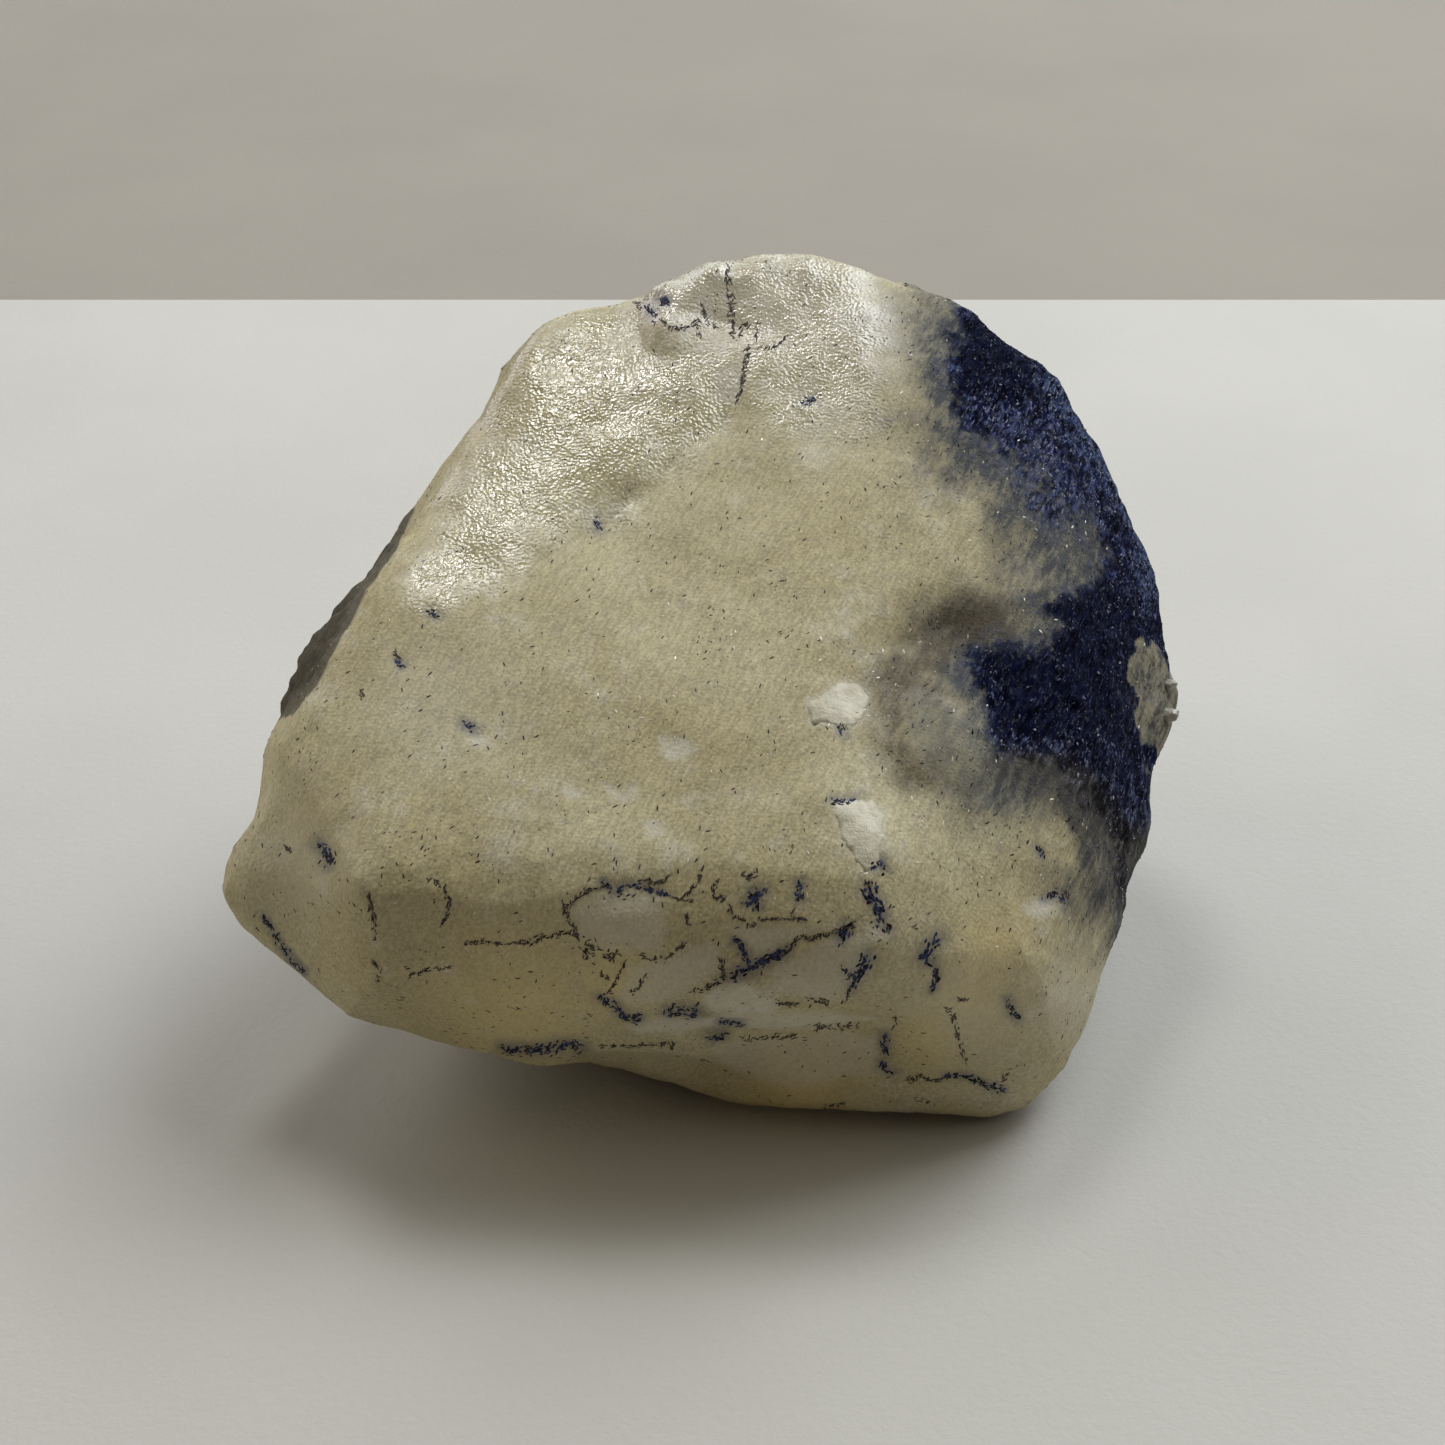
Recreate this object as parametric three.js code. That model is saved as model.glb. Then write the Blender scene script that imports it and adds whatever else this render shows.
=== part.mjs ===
// A broken lump of pale quartzite with a layer of blue dumortierite grown along its back and
// right side. It is one stone, so it is one mesh.
//
// Millimetres, +Z up. The origin is on the surface that the stone rests on, under the middle of
// the stone. -Y is the pale front, +X the blue side.
//
// The stone is made the way it broke: fracture faces span between named corners, the edges are
// worn, and ledges, hollows and unevenness are pressed into the faces.

import * as THREE from "three";
import { ConvexGeometry } from "three/addons/geometries/ConvexGeometry.js";
import { SimplexNoise } from "three/addons/math/SimplexNoise.js";
import { TessellateModifier } from "three/addons/modifiers/TessellateModifier.js";
import { mergeVertices } from "three/addons/utils/BufferGeometryUtils.js";

const { smoothstep } = THREE.MathUtils;

// ---------------------------------------------------------------- driving dimensions

const FACET = 2; // longest edge of a mesh triangle
const SPLIT_ROUNDS = 16; // halvings, more than enough to bring every edge under FACET
const WELD_DISTANCE = 0.001; // vertices closer than this are one vertex
const WEAR_ROUNDS = 3; // smoothing rounds over the broken edges
const WEAR_SHARE = 0.5; // share of the way to the neighbours' middle in each round
const REST_CLEARANCE = 1.6; // height above the resting face where the relief is at its full
const NOISE_SEED = 20260;

// Unevenness of a fracture face: height of the swell and the distance from crest to crest.
const SWELL = { height: 0.3, spacing: 14 };
const RIPPLE = { height: 0.1, spacing: 4.5 };
const CRUST = { height: 0.45, spacing: 5 }; // knobbly growth of the blue layer

// Corners where the fracture faces meet, named as seen from the pale front.
const CORNERS = {
  // rim of the large pale face, along the crest and down the left ridge
  crestLeft: [-8.4, 13.5, 29.9],
  crestMiddle: [-2.4, 14.6, 30.5],
  crestTop: [3.6, 16, 31.6],
  crestRight: [8.9, 15.4, 30.4],
  ridgeHigh: [-11.4, 10.3, 27.9],
  ridgeMiddle: [-15.3, 0.9, 24],
  ridgeFoot: [-19.6, -10.3, 19.2],
  // bend between the large face and the right-hand facets
  ridgeTurn: [8.5, 1.8, 24.9],
  valleyTop: [7.4, -6.5, 21.5],
  tongueTip: [17.2, -0.5, 21.2],
  // brow and forehead, where the large face turns down to the front
  browLeft: [-15.4, -15.8, 16.9],
  browMiddle: [-6.9, -16.6, 16.9],
  browRight: [6, -16.2, 16.9],
  foreheadLeft: [-15, -17.4, 15],
  foreheadMiddle: [-6, -18.5, 14.6],
  foreheadRight: [6.4, -18.4, 14.6],
  // nose at the far left
  noseTop: [-23.5, -12, 12.6],
  noseLow: [-23.8, -12.4, 10],
  noseUnder: [-22.2, -12.6, 8.6],
  chin: [-18.1, -15.5, 6.3],
  // belly and lip of the front
  bellyLeft: [-12, -18.2, 11],
  bellyMiddle: [-3, -19, 11.6],
  lipLeft: [-11.1, -16.3, 5.1],
  lipMiddle: [-3.6, -17.3, 6.2],
  lipRight: [3.3, -18, 8],
  lipEnd: [7.8, -17.8, 8],
  // lower right of the front
  kneeFront: [9.4, -18.8, 12.4],
  kneeRight: [14.8, -17.2, 10],
  rightBrow: [16.5, -10.3, 15.3],
  cheek: [18.7, -11.7, 7.8],
  jaw: [18.3, -12.8, 4.6],
  toe: [16.3, -14.3, 1.1],
  // right side, from the shoulder down to the heel
  shoulder: [13, 14.7, 30],
  sideHigh: [17, 13, 27.4],
  sideUpper: [18.8, 11.3, 24.2],
  sideMiddle: [21, 9.4, 20.6],
  sideBulge: [22.8, 7.4, 18.1],
  bellyRight: [23.3, 4.6, 15.3],
  bellyLow: [23.1, 1.6, 12.6],
  kneeBack: [22.3, -1.3, 10.6],
  heel: [20, -4.6, 8.2],
  heelLow: [19.8, -7.2, 6.2],
  // left side, behind the ridge
  rindBulge: [-20.5, -2.5, 17.5],
  rindHigh: [-16.7, 5.6, 20.5],
  rindTop: [-12, 10.5, 23.5],
  rindLow: [-19, -3, 8],
  // back
  backLeft: [-13, 14, 14],
  backHighLeft: [-7, 17, 22],
  backHigh: [3, 18.8, 24],
  backMiddle: [2, 19.2, 13],
  backHighRight: [13, 17.5, 21],
  backRight: [17.5, 14, 13],
  backLow: [-7, 16, 6],
  backLowRight: [9, 17, 5],
  // resting face
  restFrontLeft: [2.6, -15, 0],
  restFrontRight: [14.3, -15.6, 0],
  restRight: [17, 1, 0],
  restBackRight: [11, 12.5, 0],
  restBack: [-4, 12, 0],
  restLeft: [-11.5, 1, 0],
  restMiddleLeft: [-6, -9, 0],
};

// Hollows (depth above 0) and swellings (depth below 0), each around the line from one point to
// another. The reach is how far from that line it fades out.
const HOLLOWS = [
  // crest: the high middle
  { from: [0, 15.4, 31], to: [6, 15.6, 31], reach: 4.5, depth: -0.5 },
  // groove that runs down from the crest across the large face
  { from: [1.1, 11.4, 29.4], to: [0.6, 6.2, 26.9], reach: 2.6, depth: 0.25 },
  { from: [0.6, 6.2, 26.9], to: [-5.7, -0.1, 24.1], reach: 2.6, depth: 0.25 },
  // left ridge, drawn in below the crest
  { from: [-12.5, 8, 25], to: [-15.5, 3, 22.3], reach: 4.5, depth: 0.9 },
  // valley at the foot of the large face, with the shell-shaped swelling beside it
  { from: [10.5, -4.3, 21], to: [7.8, -8, 20.2], reach: 3.6, depth: 0.8 },
  { from: [7.8, -8, 20.2], to: [7.4, -13.2, 18], reach: 3, depth: 0.5 },
  { from: [11, -8.4, 19], to: [12.2, -11, 17], reach: 3.2, depth: -0.4 },
  // lower left: the dished facet behind the nose, and the bulge beside it
  { from: [-20.6, -12.4, 15.5], to: [-19.6, -14.4, 12.5], reach: 4.5, depth: 0.7 },
  { from: [-16.2, -16.9, 14.6], to: [-16.2, -16.6, 9.8], reach: 3.2, depth: -0.45 },
  // scoop under the lip, and the hollow under its right-hand plate
  { from: [-5, -15.8, 3], to: [0.4, -16.2, 2.4], reach: 3.8, depth: 1.2 },
  { from: [2, -17.2, 5], to: [8.5, -17, 5], reach: 3.2, depth: 0.7 },
  // right side: pale growth that stands out of the blue
  { from: [23, 2.2, 13.4], to: [22.7, -0.2, 12.8], reach: 2.8, depth: -0.7 },
  // back: a scooped break and a shallow pan at either side
  { from: [-6, 18, 11], to: [5, 19, 8], reach: 6, depth: 1.5 },
  { from: [-16, 7, 14], to: [-14, 10, 9], reach: 6, depth: 1.2 },
  { from: [16, 14.5, 12], to: [17.5, 10, 7], reach: 5, depth: 1.1 },
];

// Ledges, where a layer has broken off and the surface steps down in one direction. The step is
// spread over its width and fades out at its reach from the middle.
const LEDGES = [
  { name: "crest notch", at: [-3.4, 13.6, 30.4], down: [-1, -0.1, 0], height: 0.8, width: 1.4, reach: 4.5 },
  { name: "lip plate", at: [4, -18.4, 9], down: [0.1, 0, -1], height: 0.8, width: 1.4, reach: 7 },
  { name: "rind", at: [-19.5, -3, 14.5], down: [0.1, -0.3, -1], height: 0.6, width: 1.6, reach: 7 },
  { name: "back shelf", at: [2, 18.8, 17], down: [0.15, 0, -1], height: 1.7, width: 2, reach: 10 },
  { name: "back step", at: [-11, 14, 19], down: [-0.7, 0, -0.7], height: 1.2, width: 1.8, reach: 7 },
  { name: "side step", at: [19.5, 9.5, 13], down: [-0.2, 0.5, -0.8], height: 1.2, width: 1.8, reach: 7 },
];

// ---------------------------------------------------------------- the block and its edges

// The faces that span between the corners, cut into small triangles that share vertices.
function brokenBlock() {
  const corners = Object.values(CORNERS).map((xyz) => new THREE.Vector3(...xyz));
  const hull = new ConvexGeometry(corners);
  hull.deleteAttribute("normal");
  const fine = new TessellateModifier(FACET, SPLIT_ROUNDS).modify(hull);
  return mergeVertices(fine, WELD_DISTANCE);
}

// For each vertex, the set of vertices that share an edge with it.
function neighboursOf(geometry) {
  const around = Array.from({ length: geometry.attributes.position.count }, () => new Set());
  const index = geometry.index.array;
  for (let i = 0; i < index.length; i += 3) {
    const [a, b, c] = index.subarray(i, i + 3);
    around[a].add(b).add(c);
    around[b].add(c).add(a);
    around[c].add(a).add(b);
  }
  return around;
}

// Rounds the broken edges by moving each vertex towards the middle of its neighbours.
function wearEdges(geometry) {
  const around = neighboursOf(geometry);
  const position = geometry.attributes.position;
  for (let round = 0; round < WEAR_ROUNDS; round++) {
    const before = position.clone();
    for (let i = 0; i < position.count; i++) {
      const middle = new THREE.Vector3();
      for (const j of around[i]) middle.add(new THREE.Vector3().fromBufferAttribute(before, j));
      middle.divideScalar(around[i].size);
      const p = new THREE.Vector3().fromBufferAttribute(before, i).lerp(middle, WEAR_SHARE);
      position.setXYZ(i, p.x, p.y, p.z);
    }
  }
}

// ---------------------------------------------------------------- relief of the faces

// Repeatable stand-in for Math.random, which SimplexNoise draws from.
function seededRandom(seed) {
  const MULTIPLIER = 16807;
  const MODULUS = 2147483647;
  let state = seed;
  const random = () => {
    state = (state * MULTIPLIER) % MODULUS;
    return state / MODULUS;
  };
  return { random };
}

const noise = new SimplexNoise(seededRandom(NOISE_SEED));

const unevenness = (p, { height, spacing }) =>
  height * noise.noise3d(p.x / spacing, p.y / spacing, p.z / spacing);

// How knobbly the surface is, from 0 on the pale front to 1 where the blue layer covers the back
// and the sides.
const crustShare = (outward) => smoothstep(outward.y + 0.8 * Math.abs(outward.x), 0.2, 0.8);

function hollowRise(p, { from, to, reach, depth }) {
  const line = new THREE.Line3(new THREE.Vector3(...from), new THREE.Vector3(...to));
  const nearest = line.closestPointToPoint(p, true, new THREE.Vector3());
  return -depth * (1 - smoothstep(p.distanceTo(nearest), 0, reach));
}

function ledgeRise(p, { at, down, height, width, reach }) {
  const away = p.clone().sub(new THREE.Vector3(...at));
  const past = away.dot(new THREE.Vector3(...down).normalize());
  const nearness = 1 - smoothstep(away.length(), reach / 2, reach);
  return nearness * height * (0.5 - smoothstep(past, -width / 2, width / 2));
}

// Height of the relief above the worn face at point p. It dies out at the resting face.
function relief(p, outward) {
  let rise = unevenness(p, SWELL) + unevenness(p, RIPPLE);
  rise += crustShare(outward) * unevenness(p, CRUST);
  for (const hollow of HOLLOWS) rise += hollowRise(p, hollow);
  for (const ledge of LEDGES) rise += ledgeRise(p, ledge);
  return rise * smoothstep(p.z, 0, REST_CLEARANCE);
}

function raiseRelief(geometry) {
  geometry.computeVertexNormals();
  const { position, normal } = geometry.attributes;
  for (let i = 0; i < position.count; i++) {
    const p = new THREE.Vector3().fromBufferAttribute(position, i);
    const outward = new THREE.Vector3().fromBufferAttribute(normal, i);
    p.addScaledVector(outward, relief(p, outward));
    position.setXYZ(i, p.x, p.y, p.z);
  }
}

// Moves the stone so that the origin is under its middle, on the surface it rests on.
function standOnOrigin(geometry) {
  geometry.computeBoundingBox();
  const { min, max } = geometry.boundingBox;
  geometry.translate(-(min.x + max.x) / 2, -(min.y + max.y) / 2, -min.z);
}

// ---------------------------------------------------------------- the part

function stoneGeometry() {
  const geometry = brokenBlock();
  wearEdges(geometry);
  raiseRelief(geometry);
  standOnOrigin(geometry);
  geometry.computeVertexNormals();
  return geometry;
}

const quartzite = new THREE.MeshStandardMaterial({
  color: new THREE.Color().setRGB(0.67, 0.64, 0.52, THREE.SRGBColorSpace),
  roughness: 0.42,
  metalness: 0,
});

const stone = new THREE.Mesh(stoneGeometry(), quartzite);
stone.name = "dumortierite_stone";

const specimen = new THREE.Group();
specimen.add(stone);

export default specimen;
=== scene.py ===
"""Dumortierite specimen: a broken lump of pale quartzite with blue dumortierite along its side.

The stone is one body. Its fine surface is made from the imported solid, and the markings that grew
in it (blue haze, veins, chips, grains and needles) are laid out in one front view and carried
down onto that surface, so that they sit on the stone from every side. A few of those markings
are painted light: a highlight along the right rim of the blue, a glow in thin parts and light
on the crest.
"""

import logging
import math
import random
from collections.abc import Iterable, Iterator
from dataclasses import dataclass, field
from enum import Enum

import bmesh
import bpy
import numpy as np
from mathutils import Matrix, Vector, noise
from mathutils.bvhtree import BVHTree
from mathutils.geometry import delaunay_2d_cdt


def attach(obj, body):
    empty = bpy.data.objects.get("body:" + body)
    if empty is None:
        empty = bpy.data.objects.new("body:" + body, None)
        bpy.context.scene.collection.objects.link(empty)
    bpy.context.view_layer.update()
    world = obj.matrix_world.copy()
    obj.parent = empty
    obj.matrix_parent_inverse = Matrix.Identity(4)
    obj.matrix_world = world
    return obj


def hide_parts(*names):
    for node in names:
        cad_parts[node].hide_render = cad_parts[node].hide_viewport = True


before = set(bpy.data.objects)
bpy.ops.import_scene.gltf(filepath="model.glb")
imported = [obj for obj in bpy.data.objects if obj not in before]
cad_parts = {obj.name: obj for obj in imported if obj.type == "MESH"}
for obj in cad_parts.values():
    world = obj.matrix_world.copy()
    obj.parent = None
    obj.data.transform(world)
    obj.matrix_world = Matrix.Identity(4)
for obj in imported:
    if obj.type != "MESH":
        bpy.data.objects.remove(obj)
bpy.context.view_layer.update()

LOG = logging.getLogger("specimen")
MM = 0.001
TINY = 1e-9
BODY = "root"

Range = tuple[float, float]
Place = tuple[float, float, float]
Colour = tuple[float, float, float]
# a place in the front view, a line of such places, and soft spots: centre, radius and strength
Pixel = tuple[float, float]
Route = list[Pixel]
Spots = list[tuple[Pixel, float, float]]
Socket = bpy.types.NodeSocket


# ------------------------------------------------------------------------------ small helpers


def soft_step(value: np.ndarray, low: float, high: float) -> np.ndarray:
    """Smooth step from 0 where the value is low to 1 where it is high."""
    share = np.clip((value - low) / (high - low), 0.0, 1.0)
    return share * share * (3 - 2 * share)


def strongest(shares: Iterable[np.ndarray]) -> np.ndarray:
    """The largest value of several arrays at every place."""
    return np.maximum.reduce(list(shares))


def spot(pixels: np.ndarray, centre: Pixel, radius: float) -> np.ndarray:
    """Strength of a soft round spot at N places of the front view, 1 at its centre."""
    return np.exp(-((pixels - centre) ** 2).sum(axis=1) / radius**2)


def line_distance(points: np.ndarray, route: Route) -> np.ndarray:
    """Distance from points to an open route of straight stretches.

    Args:
        points: N by 2 places.
        route: Two or more corners.

    Returns:
        N distances.
    """
    best = np.full(len(points), np.inf)
    for start, end in zip(route, route[1:]):
        a = np.array(start, float)
        span = np.array(end, float) - a
        along = np.clip((points - a) @ span / max(span @ span, TINY), 0, 1)
        best = np.minimum(best, np.linalg.norm(points - a - along[:, None] * span, axis=1))
    return best


def depth_inside(points: np.ndarray, outline: Route) -> np.ndarray:
    """Distance inside a closed outline, negative outside it.

    Args:
        points: N by 2 places.
        outline: Corners of the outline, in order.

    Returns:
        N signed distances.
    """
    closed = outline + outline[:1]
    inside = np.zeros(len(points), bool)
    for (x0, y0), (x1, y1) in zip(closed, closed[1:]):
        crosses = (y0 > points[:, 1]) != (y1 > points[:, 1])
        rise = (y1 - y0) or TINY
        inside ^= crosses & (points[:, 0] < (x1 - x0) * (points[:, 1] - y0) / rise + x0)
    distance = line_distance(points, closed)
    return np.where(inside, distance, -distance)


def link(name: str, data: bpy.types.ID) -> bpy.types.Object:
    """Puts a mesh, lamp or camera in the scene.

    Args:
        name: Name of the object.
        data: The mesh, lamp or camera.

    Returns:
        The object, at the origin.
    """
    placed = bpy.data.objects.new(name, data)
    bpy.context.scene.collection.objects.link(placed)
    return placed


def store(mesh: bpy.types.Mesh, name: str, values: np.ndarray | list) -> None:
    """Stores a number or a vector for every vertex, as a named attribute.

    Args:
        mesh: The mesh.
        name: Name of the attribute.
        values: N numbers, or N by 3 of them.
    """
    values = np.ascontiguousarray(values, dtype=np.float32)
    kind, label = ("FLOAT", "value") if values.ndim == 1 else ("FLOAT_VECTOR", "vector")
    mesh.attributes.new(name, kind, "POINT").data.foreach_set(label, values.ravel())


def baked(piece: bpy.types.Object, name: str) -> bpy.types.Object:
    """Turns a piece with modifiers into a plain mesh piece.

    Args:
        piece: The piece, which is removed.
        name: Name of the plain piece.

    Returns:
        The plain piece, linked to the scene at the origin.
    """
    evaluated = piece.evaluated_get(bpy.context.evaluated_depsgraph_get())
    mesh = bpy.data.meshes.new_from_object(evaluated)
    piece.modifiers.clear()
    bpy.data.objects.remove(piece)
    mesh.name = name
    return link(name, mesh)


def smooth_piece(name: str, work: bmesh.types.BMesh, material: bpy.types.Material) -> bpy.types.Object:
    """Turns a mesh under construction into a smoothly shaded piece.

    Args:
        name: Name of the piece.
        work: The mesh under construction, which is freed.
        material: Its material.

    Returns:
        The piece, linked to the scene at the origin.
    """
    mesh = bpy.data.meshes.new(name)
    work.to_mesh(mesh)
    work.free()
    mesh.polygons.foreach_set("use_smooth", [True] * len(mesh.polygons))
    mesh.materials.append(material)
    return link(name, mesh)


@dataclass(frozen=True)
class Waves:
    """Fractal noise over the stone.

    The coarsest octave is spacing metres from crest to crest, each later one is half as coarse,
    and the shift sets two patterns apart.
    """

    spacing: float
    octaves: int = 3
    shift: float = 0.0
    height: float = 1.0
    fall: float = 1.0
    step: float = 2.0

    def at(self, points: np.ndarray) -> np.ndarray:
        """Works out the noise.

        Args:
            points: N by 3 places on the stone, in metres.

        Returns:
            N values, about -height to height.
        """
        scaled = points / self.spacing + self.shift
        values = [noise.fractal(Vector(p), self.fall, self.step, self.octaves) for p in scaled]
        return self.height * np.array(values)


def srgb(red: int, green: int, blue: int) -> Colour:
    """Linear colour of an 8-bit sRGB colour."""
    channels = (c / 255 for c in (red, green, blue))
    return tuple(c / 12.92 if c <= 0.04045 else ((c + 0.055) / 1.055) ** 2.4 for c in channels)


class Graph:
    """A node tree under construction, with short calls for what its builders repeat."""

    def __init__(self, tree: bpy.types.NodeTree) -> None:
        """Starts with an existing tree."""
        self.tree = tree

    def add(self, kind: str, inputs: dict | None = None, **settings: object) -> bpy.types.Node:
        """Adds a node.

        Args:
            kind: The node's type name.
            inputs: Values or sockets for its inputs, by name or position.
            settings: Properties of the node itself.

        Returns:
            The node.
        """
        node = self.tree.nodes.new(kind)
        for key, value in settings.items():
            setattr(node, key, value)
        for key, value in (inputs or {}).items():
            self.put(node.inputs[key], value)
        return node

    def put(self, socket: Socket, value: object) -> None:
        """Links a socket to an input, or sets the input's value.

        Args:
            socket: The input.
            value: Socket or value.
        """
        if isinstance(value, Socket):
            self.tree.links.new(value, socket)
        else:
            socket.default_value = value

    def math(self, operation: str, *terms: object) -> Socket:
        """Adds a Math node and returns its result."""
        return self.add("ShaderNodeMath", dict(enumerate(terms)), operation=operation).outputs[0]


# ------------------------------------------------------------------------------ the front view


@dataclass(frozen=True)
class FrontView:
    """The view in which the markings are laid out, and the camera that shows it.

    Places in it are pixels of a square picture, from its top left corner.
    """

    width: int = 1445
    focal: float = 2408.0
    elevation: float = math.radians(33)
    distance: float = 122 * MM
    target: Place = (0.07 * MM, -0.45 * MM, 13 * MM)
    sensor: float = 36.0

    @property
    def forward(self) -> np.ndarray:
        """Direction in which the view looks."""
        return np.array((0.0, math.cos(self.elevation), -math.sin(self.elevation)))

    @property
    def up(self) -> np.ndarray:
        """Direction that is up in the view."""
        return np.array((0.0, math.sin(self.elevation), math.cos(self.elevation)))

    @property
    def eye(self) -> np.ndarray:
        """Place that the view is seen from."""
        return np.array(self.target) - self.distance * self.forward

    def project(self, points: np.ndarray) -> np.ndarray:
        """Pixels at which points are seen.

        Args:
            points: N by 3 places, in metres.

        Returns:
            N by 2 pixels.
        """
        away = points - self.eye
        depth = away @ self.forward
        right = away[:, 0] / depth * self.focal
        rise = away @ self.up / depth * self.focal
        return np.stack([self.width / 2 + right, self.width / 2 - rise], axis=1)

    def ray(self, pixel: Pixel) -> tuple[Vector, Vector]:
        """Line of sight through a pixel.

        Args:
            pixel: Place in the front view.

        Returns:
            Its start and its direction.
        """
        across = (pixel[0] - self.width / 2) / self.focal
        rise = (self.width / 2 - pixel[1]) / self.focal
        direction = self.forward + np.array((across, 0.0, 0.0)) + rise * self.up
        return Vector(self.eye), Vector(direction).normalized()

    def make_camera(self) -> bpy.types.Object:
        """Makes the camera and hands it to the scene.

        Returns:
            The camera.
        """
        data = bpy.data.cameras.new("camera")
        data.sensor_width = self.sensor
        data.lens = self.sensor * self.focal / self.width
        data.clip_start = MM
        camera = link("camera", data)
        camera.location = self.eye
        camera.rotation_euler = (math.pi / 2 - self.elevation, 0, 0)
        bpy.context.scene.camera = camera
        return camera


VIEW = FrontView()


# ------------------------------------------------------------------------------ markings


class Mark(str, Enum):
    """A marking that is painted on the stone as a named attribute, from 0 to 1."""

    BLUE = "blue"
    HAZE = "haze"
    BROWN = "brown"
    CHIP = "chip"
    # honey tint; in the front view also a painted glow of light through thin parts of the stone
    HONEY_TINT_AND_GLOW = "honey"
    RIND = "rind"
    VEIN = "vein"
    PALE = "pale"
    # milky panels and spots; near the crest also painted light
    PANEL = "panel"
    GLOSS = "gloss"
    DENSE = "dense"
    # painted highlight along the right rim of the blue layer
    RIM_HIGHLIGHT = "rim"
    ASH = "ash"
    LENS = "lens"
    LIFT = "lift"


# Outlines in the front view. The blue layer and the rind run on past the edge of the stone.
BLUE_LAYER: Route = [
    (958, 300), (992, 296), (1036, 322), (1088, 362), (1124, 426), (1158, 488), (1184, 552),
    (1196, 640), (1190, 720), (1175, 770), (1155, 810), (1142, 850), (1134, 885), (1117, 912),
    (1103, 878), (1091, 848), (1080, 822), (1066, 798), (1043, 780), (1013, 768), (994, 752),
    (980, 735), (973, 705), (962, 685), (948, 668), (962, 652), (990, 642), (1030, 640), (1048, 622),
    (1035, 605), (1062, 592), (1086, 582), (1092, 560), (1080, 534), (1050, 528), (1030, 505),
    (1010, 482), (985, 458), (968, 430), (957, 400), (952, 355),
]
# Route of the painted highlight along the right rim of the blue layer.
RIM_HIGHLIGHT_ROUTE: Route = [
    (992, 318), (1030, 342), (1066, 386), (1096, 436), (1122, 486), (1146, 540), (1160, 590),
]
ASHES: Route = [
    (984, 752), (990, 775), (1020, 795), (1048, 806), (1064, 812), (1076, 830), (1088, 858),
    (1102, 912), (1135, 915), (1160, 850), (1122, 812), (1092, 776), (1056, 750),
]
# A darker brown patch below the blue tongue and left of the lens.
BROWN_PATCH: Route = [
    (905, 640), (940, 615), (985, 600), (1015, 612), (1010, 635), (975, 645), (950, 664), (925, 682),
    (903, 706), (908, 745), (932, 784), (900, 790), (876, 745), (866, 700), (880, 668),
]
RIND_EDGE: Route = [
    (415, 508), (404, 531), (397, 551), (369, 585), (342, 636), (322, 673), (293, 716), (262, 726),
    (270, 640), (330, 560), (380, 505),
]
LENS: Route = [
    (903, 700), (915, 690), (940, 695), (965, 715), (985, 745), (997, 770), (990, 792), (965, 798),
    (940, 782), (915, 747),
]
PANELS: list[Route] = [
    [(563, 911), (582, 898), (606, 887), (640, 890), (664, 898), (668, 930), (660, 950), (640, 957),
     (606, 955), (577, 937)],
    [(626, 962), (668, 960), (690, 945), (720, 940), (722, 970), (700, 988), (650, 1006), (618, 1002)],
    [(722, 925), (780, 922), (850, 922), (800, 942), (760, 962), (742, 950)],
    [(770, 966), (840, 932), (868, 930), (872, 962), (846, 1000), (800, 1000), (775, 990)],
    [(760, 1036), (820, 1030), (880, 1034), (880, 1064), (900, 1074), (780, 1090), (720, 1062),
     (700, 1040)],
]
GLOSSY: list[Route] = [
    [(545, 335), (590, 318), (650, 345), (730, 355), (728, 395), (680, 440), (600, 505), (520, 545),
     (450, 590), (425, 580), (470, 480)],
    [(735, 262), (850, 275), (862, 330), (868, 400), (850, 415), (780, 420), (752, 370), (740, 320)],
    [(640, 290), (730, 262), (735, 330), (660, 320)],
]
CHIPS: list[Route] = [
    [(832, 803), (850, 800), (871, 801), (883, 814), (884, 841), (876, 868), (866, 871), (855, 858),
     (843, 838)],
    [(806, 705), (820, 696), (840, 682), (856, 684), (868, 694), (867, 712), (856, 726), (842, 731),
     (830, 722), (812, 724)],
    [(660, 738), (688, 740), (697, 750), (683, 757), (664, 758)],
    [(604, 783), (622, 796), (636, 786), (626, 800), (612, 796)],
    [(468, 737), (486, 735), (492, 744), (476, 748)],
    [(560, 787), (574, 786), (580, 795), (566, 798)],
    [(646, 824), (658, 822), (662, 832), (650, 838)],
    [(714, 378), (732, 374), (744, 372), (740, 392), (736, 408), (716, 404)],
    [(704, 996), (724, 982), (750, 983), (764, 992), (778, 1005), (770, 1013), (735, 1014), (708, 1012)],
    [(700, 1018), (770, 1014), (830, 1014), (868, 1019), (842, 1026), (780, 1030), (704, 1030),
     (640, 1034), (628, 1028), (652, 1022)],
    [(866, 926), (880, 924), (886, 933), (878, 941), (868, 939)],
    [(1022, 905), (1034, 898), (1052, 896), (1064, 902), (1058, 913), (1040, 918), (1026, 914)],
]
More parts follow.
